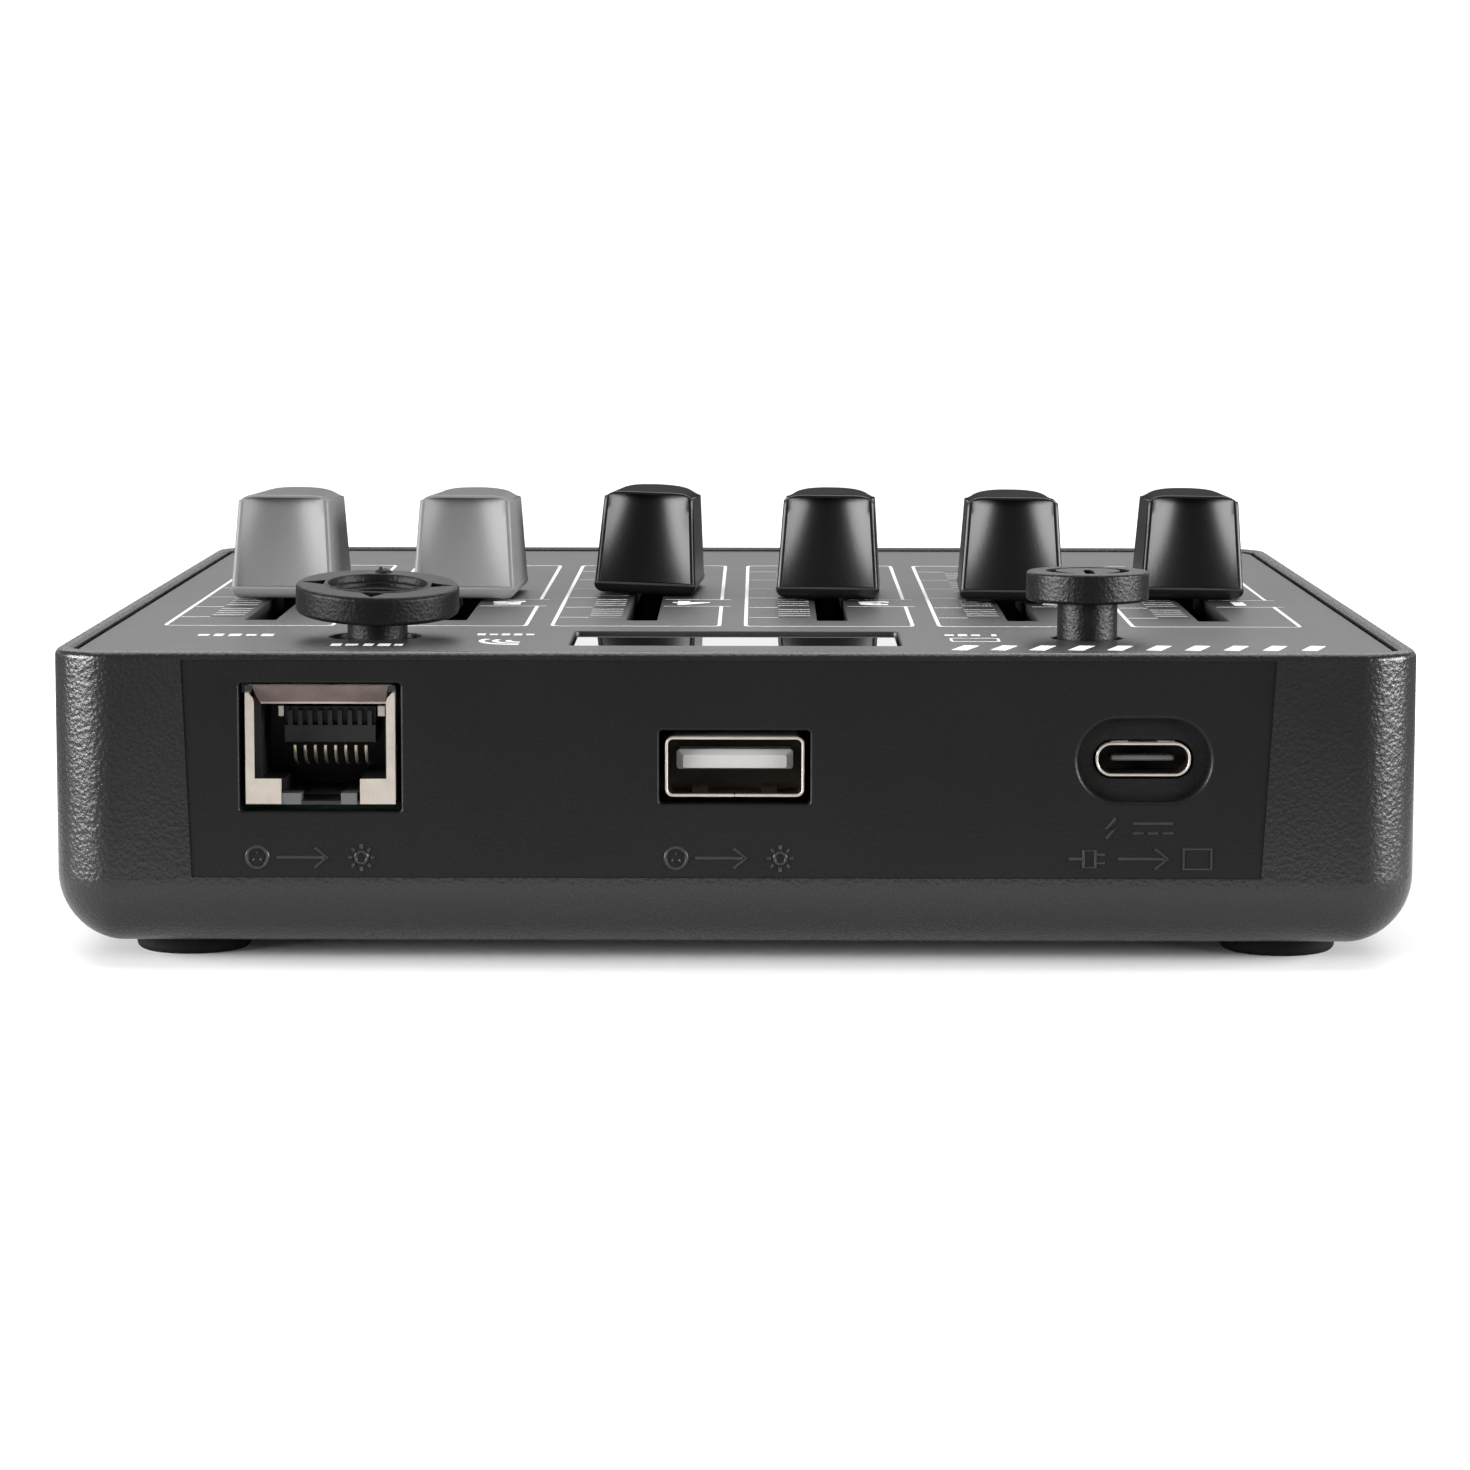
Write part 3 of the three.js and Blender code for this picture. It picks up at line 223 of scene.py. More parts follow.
class Flow:
    # one output of a shader node; arithmetic on it adds Math nodes
    def __init__(self, nodes, socket):
        self.nodes, self.socket = nodes, socket

    def maths(self, operation, first, second):
        return self.nodes.node("ShaderNodeMath", {"operation": operation}, {0: first, 1: second})

    def __add__(self, other):
        return self.maths("ADD", self, other)

    def __sub__(self, other):
        return self.maths("SUBTRACT", self, other)

    def __rsub__(self, other):
        return self.maths("SUBTRACT", other, self)

    def __mul__(self, other):
        return self.maths("MULTIPLY", self, other)

    def __gt__(self, other):
        return self.maths("GREATER_THAN", self, other)

    __radd__ = __add__
    __rmul__ = __mul__


class Nodes:
    # the nodes of a material or of the world, all made by one method
    def __init__(self, owner):
        owner.use_nodes = True
        self.owner, self.tree = owner, owner.node_tree

    def node(self, kind, settings=None, inputs=None, out=0):
        made = self.tree.nodes.new(kind)
        for key, value in (settings or {}).items():
            if key == "stops":
                ramp = made.color_ramp.elements
                while len(ramp) < len(value):
                    ramp.new(0.5)
                for stop, (position, colour) in zip(ramp, value):
                    stop.position, stop.color = position, colour
            else:
                setattr(made, key, value)
        for key, value in (inputs or {}).items():
            if isinstance(value, Flow):
                self.tree.links.new(value.socket, made.inputs[key])
            else:
                made.inputs[key].default_value = value
        return Flow(self, made.outputs[out])

    def link(self, flow, node, key):
        self.tree.links.new(flow.socket, self.tree.nodes[node].inputs[key])


class Finish(Nodes):
    # one material: a surface shader and the nodes that feed it
    def __init__(self, name, **surface):
        super().__init__(bpy.data.materials.new(name))
        for key, value in surface.items():
            self.tree.nodes["Principled BSDF"].inputs[key.replace("_", " ")].default_value = value
        self.place = self.node("ShaderNodeTexCoord", out="Object")

    def noise(self, size, detail=2, roughness=0.5, place=None):
        # soft spots of about this size in millimetres
        return self.node("ShaderNodeTexNoise", {}, {
            "Vector": place or self.place, "Scale": 1 / (size * millimetre),
            "Detail": detail, "Roughness": roughness,
        })

    def cells(self, size):
        # rounded grains of about this size in millimetres
        return self.node("ShaderNodeTexVoronoi", {"feature": "SMOOTH_F1"}, {
            "Vector": self.place, "Scale": 1 / (size * millimetre), "Smoothness": 0.6,
        })

    def stretched(self, scale):
        return self.node("ShaderNodeMapping", {}, {"Vector": self.place, "Scale": scale})

    def tint(self, factor, first, second):
        return self.node("ShaderNodeMix", {"data_type": "RGBA"}, {0: factor, 6: first, 7: second}, out=2)

    def height(self, height, distance):
        return self.node("ShaderNodeBump", {}, {
            "Height": height, "Distance": distance * millimetre, "Strength": 1.0,
        })

    def feed(self, **flows):
        for key, flow in flows.items():
            self.link(flow, "Principled BSDF", key.replace("_", " "))
        return self.owner


def shade(level, warm=0.0):
    # grey of one level with a little warmth, as a colour
    return (level * (1 + warm), level, level * (1 - warm), 1)


def mouldedFinish(name, dark, pale, roughness, grain, relief, gloss=0.5, spread=0.06):
    # moulded plastic: fine grain, faint clouds in the colour, and gloss that varies with both
    finish = Finish(name, IOR=1.5, Specular_IOR_Level=gloss)
    grains = finish.cells(grain)
    fine = finish.noise(grain * 0.45, 2, 0.6)
    clouds = finish.noise(14, 3, 0.55)
    return finish.feed(
        Base_Color=finish.tint(clouds * 0.6 + fine * 0.4, dark, pale),
        Roughness=clouds * spread + fine * spread + (roughness - spread),
        Normal=finish.height(grains * 0.7 + fine * 0.5, relief),
    )


def metalFinish(name, dark, pale, roughness, brush, scale, metallic=1.0):
    # plated sheet: lines of the rolling, faint stains, gloss that varies along the lines
    finish = Finish(name, Metallic=metallic)
    lines = finish.noise(brush, 3, 0.6, finish.stretched(scale))
    stains = finish.noise(2.2, 3, 0.6)
    return finish.feed(
        Base_Color=finish.tint(stains * 0.7 + lines * 0.3, (*dark, 1), (*pale, 1)),
        Roughness=lines * 0.16 + stains * 0.1 + (roughness - 0.1),
        Normal=finish.height(lines, 0.01),
    )


def evenFinish(name, size, detail, scale, dark, pale, roughness, spread, relief, **surface):
    # one noise, stretched where it has a scale, for tone, gloss and relief:
    # ink with a slight orange peel, and glass with wiped streaks
    finish = Finish(name, **surface)
    streaks = finish.noise(size, detail, 0.6, scale and finish.stretched(scale))
    return finish.feed(
        Base_Color=finish.tint(streaks, shade(dark), shade(pale)),
        Roughness=streaks * spread + roughness,
        Normal=finish.height(streaks, relief),
    )


def boardFinish():
    # solder mask over copper: green lacquer with lines of the tracks under it
    finish = Finish("greenCircuitBoard", Coat_Weight=0.4, Coat_Roughness=0.15)
    tracks = finish.noise(1.6, 1, 0.4, finish.stretched((0.35, 1, 1)))
    clouds = finish.noise(9, 2)
    lifted = (tracks > 0.52) * 0.6
    return finish.feed(
        Base_Color=finish.tint(lifted + clouds * 0.4, (0.003, 0.014, 0.007, 1), (0.008, 0.036, 0.017, 1)),
        Roughness=clouds * 0.15 + 0.3,
        Normal=finish.height(lifted, 0.02),
    )


def foamFinish():
    # open foam: deep pores over a dark grey body
    finish = Finish("greyFoamPad", Specular_IOR_Level=0.2)
    pores = finish.cells(0.8)
    fine = finish.noise(0.3, 3, 0.7)
    return finish.feed(
        Base_Color=finish.tint(pores + fine * 0.4, shade(0.02), shade(0.07)),
        Roughness=fine * 0.1 + 0.85,
        Normal=finish.height(pores, 0.2),
    )


# finishes: plastics are dark and pale tone, roughness, grain, relief, gloss and spread of the roughness;
# metals are dark and pale colour, roughness, size of the lines, their stretch, and how metallic they are

tubPlastic = mouldedFinish("grainedTubPlastic", shade(0.009), shade(0.014, 0.02), 0.27, 0.42, 0.05, 0.52)
facePlastic = mouldedFinish("smoothFacePlastic", shade(0.005), shade(0.008, 0.02), 0.40, 0.36, 0.03, 0.23)
# painted highlight: a paler copy of the face plastic for the raised signs, standing in for the light their edges
# catch
signHighlightPlastic = mouldedFinish("raisedSignPlastic", shade(0.012), shade(0.018, 0.02), 0.34, 0.36, 0.01, 0.8)
panelPlastic = mouldedFinish("satinPanelPlastic", shade(0.022), shade(0.030), 0.42, 0.30, 0.016)
blackCapPlastic = mouldedFinish("blackCapPlastic", shade(0.004), shade(0.007), 0.32, 0.5, 0.005, 0.29, 0.04)
# the crowns are darker, matt copies of the cap plastics: their matt surface is their own, their darker tone is
# painted shade on the cap tops
blackCrownPlastic = mouldedFinish("blackCrownPlastic", shade(0.003), shade(0.006), 0.6, 0.4, 0.02, 0.02)
greyCapPlastic = mouldedFinish("greyCapPlastic", shade(0.145), shade(0.165), 0.38, 0.5, 0.006, 0.24, 0.04)
greyCrownPlastic = mouldedFinish("greyCrownPlastic", shade(0.11), shade(0.14), 0.6, 0.4, 0.02, 0.05)
buttonPlastic = mouldedFinish("blackButtonPlastic", shade(0.003), shade(0.007), 0.36, 0.34, 0.05, 0.24)
stickPlastic = mouldedFinish("blackStickPlastic", shade(0.003), shade(0.007), 0.42, 0.34, 0.05, 0.15)
footRubber = mouldedFinish("blackFootRubber", shade(0.003), shade(0.006), 0.75, 0.6, 0.03, 0.12)
insulatorPlastic = mouldedFinish("darkInsulatorPlastic", shade(0.012), shade(0.020), 0.42, 0.5, 0.02)
ivoryPlastic = mouldedFinish("paleTonguePlastic", shade(0.40, 0.02), shade(0.46, 0.02), 0.42, 0.6, 0.006)
tonguePlastic = mouldedFinish("greyTonguePlastic", shade(0.07), shade(0.11), 0.4, 0.4, 0.01)
leadPlastic = mouldedFinish("redLeadSleeve", (0.35, 0.02, 0.015, 1), (0.45, 0.03, 0.02, 1), 0.45, 0.3, 0.01)
socketNickel = metalFinish("socketNickel", (0.50, 0.47, 0.43), (0.67, 0.645, 0.605), 0.26, 0.12, (1, 0.15, 1))
mattNickel = metalFinish("mattNickel", (0.40, 0.35, 0.31), (0.68, 0.62, 0.555), 0.34, 0.16, (1, 1, 0.25), 0.5)
# painted shade: a darker copy of the nickel for the socket's roof, which faces down
paintedShadeRoof = metalFinish("shadedRoofNickel", (0.13, 0.10, 0.095), (0.34, 0.265, 0.25), 0.5, 0.3, (1, 1, 1), 0.3)
# painted shade: a dark copy of the shell metal for the insides of the USB shells, which lie in shade
paintedShadeLiner = metalFinish("shadedSleeveMetal", (0.012, 0.009, 0.006), (0.030, 0.023, 0.015), 0.42, 0.3,
                         (1, 0.2, 1), 0.4)
blackedSteel = metalFinish("blackedSteel", (0.03, 0.03, 0.032), (0.07, 0.07, 0.072), 0.42, 0.2, (0.2, 1, 1))
zincSteel = metalFinish("zincSteel", (0.45, 0.46, 0.48), (0.66, 0.67, 0.69), 0.34, 0.2, (0.2, 1, 1))
goldContact = metalFinish("paleGoldContact", (0.62, 0.54, 0.38), (0.85, 0.76, 0.58), 0.28, 0.1, (1, 0.3, 1), 0.6)
batteryFoil = metalFinish("batteryFoil", (0.50, 0.50, 0.50), (0.62, 0.62, 0.62), 0.42, 0.6, (1, 0.1, 1))
panelPrint = evenFinish("whitePanelPrint", 0.25, 2, None, 0.78, 0.92, 0.45, 0.1, 0.006, Specular_IOR_Level=0.4)
displayCover = evenFinish("darkDisplayCover", 3, 3, (1, 0.3, 1), 0.008, 0.014, 0.015, 0.03, 0.0005,
                          IOR=1.5, Coat_Weight=0.3, Coat_Roughness=0.05)
circuitBoard = boardFinish()
foamPad = foamFinish()
print("finishes made")

# housing tub

tubShape = {
    "corner": 6.0, "cornerSteps": 8, "leastCorner": 0.9, "bottomRounding": 6.8, "topRounding": 0.7,
    "rimWidth": 1.6, "rimChamfer": 0.25, "ledge": 27.3, "wall": 2.6, "innerFloor": 4.0, "innerRounding": 1.5,
    "footHole": 5.85, "footRecess": 0.6, "footX": 52.6, "footY": 54.5,
}
# the smooth sunk face around the sockets: its ends at the top and the bottom, its low edge and its depth
faceShape = {"top": (-51.9, 50.7), "bottom": (-51.1, 49.5), "low": 8.72, "topGap": 0.02, "depth": 0.13}
holeShape = {
    "network": {"middle": (-38.9, 21.0), "size": (15.2, 12.2), "corner": 0.35, "lip": 0.22, "steps": 6},
    "usbA": {"middle": (0.0, 19.2), "size": (14.2, 7.0), "corner": 0.35, "lip": 0.22, "steps": 6},
    "recess": {"middle": (38.4, 19.9), "size": (12.45, 7.8), "corner": 3.88, "lip": 0.4, "steps": 12, "fillet": 0.25},
    "usbC": {"middle": (38.4, 19.9), "size": (9.4, 3.7), "corner": 1.8, "lip": 0.08, "steps": 12},
}
recessDepth = 1.5


def holeRows(name, start, end):
    # a hole in an upright wall: a rounded lip, straight on, and a rounded foot where it has a fillet
    s = holeShape[name]
    halfX, halfY = np.array(s["size"]) / 2
    fillet = s.get("fillet", 0)
    out, deep = bend(s["lip"])
    out, deep = np.append(out, 0), np.append(deep + start, end - fillet)
    if fillet:
        turned, along = bend(fillet, 4)
        out, deep = np.append(out, turned[::-1] - fillet), np.append(deep, end - along[::-1])
    return roundRows(halfX + out, halfY + out, s["corner"] + out, deep, s["middle"], s["steps"])


def makeTub():
    s, f = tubShape, faceShape
    low, high = boxMm("housing_tub")
    face, wall, rim = low[1], s["wall"], s["rimWidth"]
    out, rise = bend(s["bottomRounding"], 14)
    topOut, topRise = bend(s["topRounding"])
    inner, innerRise = bend(s["innerRounding"], 4)
    inset = np.concatenate([out, topOut[::-1], [rim - s["rimChamfer"], rim, rim, wall], wall + inner[::-1]])
    level = np.concatenate([
        low[2] + rise, high[2] - topRise[::-1], [high[2], high[2] - s["rimChamfer"], s["ledge"], s["ledge"]],
        s["innerFloor"] + innerRise[::-1],
    ])
    corner = np.maximum(s["corner"] - inset, s["leastCorner"])
    rows = roundRows(high[0] - inset, high[1] - inset, corner, level, steps=s["cornerSteps"])
    # the near side's outer and inner faces are left out, and filled around the holes instead
    near = 3 * (s["cornerSteps"] + 1) - 1
    outerRow, innerRow = len(out) - 1, len(level) - len(inner) - 1
    keep = np.ones((len(level) - 1, rows.shape[1]), bool)
    keep[[outerRow, innerRow], near] = False
    shell, inlay = Shell(), Shell()
    shell.grid(rows, keep=keep)
    feet = [(x * s["footX"], y * s["footY"]) for x in (-1, 1) for y in (-1, 1)]
    recesses = [circleRows(s["footHole"], [low[2], low[2] + s["footRecess"]], foot, 48) for foot in feet]
    shell.fill([rows[0]] + [recess[0] for recess in recesses], flatAt(low[2]))
    for recess in recesses:
        shell.grid(recess)
        shell.fill([recess[1]], flatAt(recess[1, 0, 2]))
    shell.fill([rows[-1]], flatAt(s["innerFloor"]))

    def patch(row):
        # the four corners of the near face in this row, as (across, up)
        return rows[[row, row, row + 1, row + 1], [near, near + 1, near + 1, near]][:, [0, 2]]

    faceHigh = level[outerRow + 1] - f["topGap"]
    outline = np.array([(f["bottom"][0], f["low"]), (f["bottom"][1], f["low"]),
                        (f["top"][1], faceHigh), (f["top"][0], faceHigh)])
    sunk = face + f["depth"]
    shell.fill([patch(outerRow), outline], wallAt(face))
    inlay.grid(np.stack([wallAt(face)(outline), wallAt(sunk)(outline)]))
    network, usbA = holeRows("network", f["depth"], wall), holeRows("usbA", f["depth"], wall)
    recess, inlet = holeRows("recess", f["depth"], recessDepth), holeRows("usbC", recessDepth, wall)
    inlay.fill([outline, network[0], usbA[0], recess[0]], wallAt(sunk))
    for mouth in (network, usbA, recess, inlet):
        inlay.grid(upright(mouth, face))
    inlay.fill([recess[-1], inlet[0]], wallAt(face + recessDepth))
    shell.fill([patch(innerRow), network[-1], usbA[-1], inlet[-1]], wallAt(face + wall))
    inlay.make("socketFace", facePlastic, "tub_plastic")
    shell.make("grainedTub", tubPlastic, "tub_plastic", "housing_tub")
    return sunk


# raised signs: a round plug and an arrow to a lamp, and a line plug with an arrow in and a flash above;
# lines and loops are points (across, up) from the sign's middle
signShape = {
    "line": 0.36, "crest": 0.35, "raise": 0.13, "sink": 0.03, "high": 10.6, "outs": (-39.6, -0.2), "ins": (38.0,),
    "outLines": [
        *(arc(-5.3, 0, 0.45, angle - 12, angle + 12, 3) for angle in (90, 210, 330)),
        [(-3.5, 0), (1.0, 0)], [(0.1, 0.95), (1.3, 0), (0.1, -0.95)],
        *([4.5, 0] + np.outer([0.85, 1.25], [math.cos(turn), math.sin(turn)]) for turn in np.arange(8) * math.pi / 4),
    ],
    "outLoops": [arc(-5.3, 0, 1.0, 0, 360, 33)[:-1], arc(4.5, 0, 0.55, 0, 360, 21)[:-1]],
    "inLines": [
        [(-2.2, 3.85), (-3.1, 2.85), (-2.3, 2.85), (-3.1, 1.95)], [(-0.6, 3.35), (3.2, 3.35)],
        *([(dash - 0.5, 2.45), (dash + 0.5, 2.45)] for dash in (-0.1, 1.3, 2.7)),
        [(-6.6, 0), (-5.2, 0)], [(-4.0, -0.4), (-3.2, -0.4)], [(-4.0, 0.4), (-3.2, 0.4)],
        [(-2.0, 0), (2.4, 0)], [(1.5, 0.95), (2.7, 0), (1.5, -0.95)],
    ],
    "inLoops": [[(-5.2, -0.8), (-5.2, 0.8), (-4.1, 0.8), (-4.1, -0.8)],
                [(4.2, -0.95), (4.2, 0.95), (6.8, 0.95), (6.8, -0.95)]],
}


def makeSigns(floor):
    s = signShape
    shell = Shell()
    for sign in ("out", "in"):
        for x in s[sign + "s"]:
            for kind in ("Lines", "Loops"):
                for path in s[sign + kind]:
                    shell.stroke(np.add(path, (x, s["high"])), s["line"], -s["sink"], s["raise"],
                                 kind == "Loops", s["crest"])
    # from lying to upright: height above the plane becomes height out of the face
    shell.points = [np.column_stack([points[:, 0], floor - points[:, 2], points[:, 1]]) for points in shell.points]
    # the signs take the paler plastic of painted highlight
    shell.make("raisedSigns", signHighlightPlastic, "tub_plastic", sharp=35)


makeSigns(makeTub())
print("tub made")

# panel

panelShape = {
    "corner": 4.1, "thick": 2.0, "rounding": 0.2, "lip": 0.18, "slotCorner": 0.4, "slotY": 2.3,
    "slotHalf": (1.55, 31.9), "stickHole": 4.55, "powerHole": 3.5, "windowCorner": 0.5,
}
stickPlace, powerPlace = (-35.4, -47.1), (34.4, -47.7)
windowPlace, windowHalf = (0, -48.9), (16.0, 7.65)
slotXs = np.array([np.mean(boxMm(f"fader_case_{number}"), axis=0)[0] for number in range(1, 7)])


def makePanel():
    s = panelShape
    low, high = boxMm("top_panel")
    top, under = high[2], high[2] - s["thick"]
    out, rise = bend(s["rounding"], 4)
    inset, level = np.append(0, out[::-1]), np.append(under, top - rise[::-1])
    rows = roundRows(high[0] - inset, high[1] - inset, s["corner"] - inset, level, steps=8)
    shell = Shell()
    shell.grid(rows)
    lipOut, lipDeep = bend(s["lip"], 4)
    lipOut, lipLevel = np.append(lipOut, 0), np.append(top - lipDeep, under)

    def hole(place, half, corner, steps=5):
        return roundRows(half[0] + lipOut, half[1] + lipOut, corner + lipOut, lipLevel, place, steps)

    holes = [hole((x, s["slotY"]), s["slotHalf"], s["slotCorner"]) for x in slotXs]
    for place, radius in ((stickPlace, s["stickHole"]), (powerPlace, s["powerHole"])):
        holes.append(hole(place, (radius, radius), radius, 12))
    holes.append(hole(windowPlace, windowHalf, s["windowCorner"]))
    for rim in holes:
        shell.grid(rim)
    shell.fill([rows[-1]] + [rim[0] for rim in holes], flatAt(top))
    shell.fill([rows[0]] + [rim[-1] for rim in holes], flatAt(under))
    shell.make("satinPanel", panelPlastic, "panel_plastic", "top_panel")
    return top


panelTop = makePanel()
print("panel made")

# print on the panel

printShape = {
    "thick": 0.01, "line": 0.36, "thinLine": 0.24, "frameLeft": 8.85, "frameRight": 8.0, "frameNear": -36.0,
    "frameFar": 42.8, "frameCorner": 0.9, "farGap": 2.8, "tabLeft": 1.9, "tabRight": 9.0, "tabNear": -12.7,
    "tabFar": -4.4, "tabLine": 0.14, "tickFrom": -26.1, "tickLine": 0.17, "tickRight": 2.2,
    "ticks": ((6, 12.0, 8.55), (26, 2.4, 5.5)),  # count, pitch and left end of the long and the short ones
    "numeralX": 4.7, "numeralY": -8.3, "numeralSize": 6.0, "numeralWide": 1.25, "numeralBold": 0.22,
    # rows of short bars by the stick and the window: places across, place in depth, widths, depths
    "barRows": (
        ((-52.4, -50.9, -49.3, -47.7, -46.1), -46.3, (1.1, 0.9, 1.2, 1.0, 1.2), (1.6, 2.3, 2.3, 1.6, 2.3)),
        ((-38.4, -36.9, -35.3, -33.8, -32.4), -56.2, (1.0, 1.2, 0.9, 1.2, 0.8), (2.3, 1.6, 2.3, 2.3, 1.6)),
        ((-25.1, -23.9, -22.7, -21.5, -20.3), -45.3, 0.8, (1.9, 1.3, 1.9, 1.9, 1.3)),
        ((21.0, 22.3, 23.6, 25.4), -45.3, (0.9, 0.9, 0.9, 0.5), (1.3, 1.9, 1.3, 1.9)),
    ),
    "wavePlace": (-20.9, -52.0), "waveRadii": (1.2, 2.5, 3.8), "waveLine": 0.55,
    "cellPlace": (23.3, -50.2), "cellHalf": (2.3, 1.7), "cellCorner": 0.5, "cellLine": 0.25,
    # a plain row of slanted bars along the near right edge
    "slants": 10, "slantFrom": 22.0, "slantPitch": 3.7, "slantY": -58.3, "slantSize": (1.5, 4.9), "slantAngle": -0.3,
}


def printNumeral(text, x, name):
    # a plain numeral, made a mesh first, then turned to be read from the far side
    s = printShape
    curve = bpy.data.curves.new(name, "FONT")
    curve.body, curve.size = text, s["numeralSize"] * millimetre
    curve.align_x, curve.align_y = "CENTER", "CENTER"
    curve.extrude, curve.offset = s["thick"] * millimetre / 2, s["numeralBold"] * millimetre
    source = placed(name + "Curve", curve)
    bpy.context.view_layer.update()
    mesh = bpy.data.meshes.new_from_object(source.evaluated_get(bpy.context.evaluated_depsgraph_get()))
    bpy.data.objects.remove(source)
    place = Vector((x + s["numeralX"], s["numeralY"], panelTop + s["thick"] / 2)) * millimetre
    wide = Matrix.Diagonal((s["numeralWide"], 1, 1, 1))
    mesh.transform(Matrix.Translation(place) @ Matrix.Rotation(math.pi, 4, "Z") @ wide)
    mesh.materials.clear()
    belong(pieceFrom(mesh, name, panelPrint, 35), "base", "panel_plastic")


def makePrint():
    s = printShape
    levels = panelTop - s["thick"], panelTop + s["thick"]
    corner, near, far = s["frameCorner"], s["frameNear"], s["frameFar"]
    shell = Shell()
    for x in slotXs:
        # sides of the frame, with their round ends; the right one is open at the tab
        left, right = x - s["frameLeft"] + corner, x + s["frameRight"] - corner
        for path in (
            [*arc(left, near + corner, corner, 235, 180, 5), *arc(left, far - corner, corner, 180, 125, 5)],
            [*arc(right, near + corner, corner, 305, 360, 5), (right + corner, s["tabNear"])],
            [(right + corner, s["tabFar"]), *arc(right, far - corner, corner, 0, 55, 5)],
        ):
            shell.stroke(path, s["line"], *levels)
    middle = slotXs + (s["frameRight"] - s["frameLeft"]) / 2
    wide = s["frameRight"] + s["frameLeft"] - corner
    shell.bars(middle, near, wide, s["thinLine"], *levels)
    for side in (-1, 1):
        shell.bars(middle + side * (wide / 4 + s["farGap"] / 2), far, wide / 2 - s["farGap"], s["thinLine"], *levels)
    tabs = slotXs + (s["tabLeft"] + s["tabRight"]) / 2
    for y in (s["tabNear"], s["tabFar"]):
        shell.bars(tabs, y, s["tabRight"] - s["tabLeft"], s["tabLine"], *levels)
    for count, pitch, left in s["ticks"]:
        x, y = np.meshgrid(slotXs - (left + s["tickRight"]) / 2, s["tickFrom"] + pitch * np.arange(count))
        shell.bars(x.ravel(), y.ravel(), left - s["tickRight"], s["tickLine"], *levels)
    for x, y, width, depth in s["barRows"]:
        shell.bars(x, y, width, depth, *levels)
    for radius in s["waveRadii"]:
        shell.stroke(arc(*s["wavePlace"], radius, 150, 270), s["waveLine"], *levels)
    cell = roundRows(*s["cellHalf"], s["cellCorner"], 0, s["cellPlace"], 4)[0, :, :2]
    shell.stroke(cell, s["cellLine"], *levels, True)
    slants = s["slantFrom"] + s["slantPitch"] * np.arange(s["slants"])
    shell.bars(slants, s["slantY"], *s["slantSize"], *levels, s["slantAngle"])
    shell.make("panelPrint", panelPrint, "panel_plastic", sharp=35)
    for number, x in zip(range(6, 0, -1), slotXs):
        printNumeral(str(number), x, f"numeral{number}")


makePrint()
print("print made")

# fader caps

capShape = {
    "bottomRounding": 1.05, "padLow": 1.25, "padTopGap": 0.05, "padRows": 16, "corner": 0.42,
    "topWidth": 9.65, "topDepth": 14.0, "slim": 0.2, "aside": 0.14, "shoulder": 0.24, "crown": 0.06,
    "backDrop": 0.62, "backPower": 2.6, "endDrop": 0.55, "endPower": 9, "dropFrom": 1.2,
    "border": 0.56, "stepLow": 0.36, "stepTop": 0.06, "sagLow": 0.85, "sagTop": 1.85, "hollow": 2.4,
    "yaw": (-1.6, -1.8, -2.6, -1.8, -1.5, -1.3), "roll": (0.3, 0.2, 2.0, 0.5, 0.4, 0.7),
    "loops": (0.97, 0.92, 0.85, 0.74, 0.6, 0.42, 0.2, 0.0), "tuck": 0.05, "greys": 2,
    "padEdge": 0.04, "padEnds": (0.2, 0.08), "padWiden": 0.05, "padPoints": 21, "sidePoints": 5,
    "drawnIn": (0.72, 0.8, 1),
}


def capRows(low, high):
    # for each row of the cap: level, half width, half depth, corner, pad share and crown share
    # (pad share runs up the pad and is negative outside it; crown share is one where the top is domed)
    s = capShape
    bottom = low[2]
    halfX, halfY = (high - low)[:2] / 2 - [s["slim"], 0]
    out, rise = bend(s["bottomRounding"])
    faceTop = high[2] - s["crown"] - s["shoulder"]
    padLow, padTop = bottom + s["padLow"], faceTop - s["padTopGap"]
    edge, ends = s["padEdge"], s["padEnds"]
    face = np.concatenate([[padLow, padLow + edge], np.linspace(padLow + ends[0], padTop - ends[1], s["padRows"]),
                           [padTop - edge / 2, padTop, faceTop]])
    share = (face - bottom) / (faceTop - bottom)
    width = halfX * (1 - share) + s["topWidth"] / 2 * share
    depth = halfY * (1 - share) + s["topDepth"] / 2 * share
    inside = (face > padLow + edge / 2) & (face < padTop - edge / 4)
    pad = np.where(inside, (face - padLow) / (padTop - padLow), -1)
    # rounded shoulder, then the top in ever smaller loops
    turn = np.linspace(0, quarter, 6)[1:]
    inset = s["shoulder"] * (1 - np.cos(turn))
    loops = np.array(s["loops"])
    before = len(out) + len(face)
    rows = (
        np.concatenate([bottom + rise, face, faceTop + s["shoulder"] * np.sin(turn),
                        np.full(len(loops), faceTop + s["shoulder"])]),
        np.concatenate([halfX - out, width, width[-1] - inset, (width[-1] - inset[-1]) * loops]),
        np.concatenate([halfY - out, depth, depth[-1] - inset, (depth[-1] - inset[-1]) * loops]),
        np.concatenate([np.full(before, s["corner"]), s["corner"] - inset, (s["corner"] - inset[-1]) * loops]),
        np.concatenate([np.full(len(out), -1), pad, np.full(len(inset) + len(loops), -1)]),
        np.concatenate([np.zeros(before + len(inset)), np.ones(len(loops))]),
    )
    return [row[:, None] for row in rows]


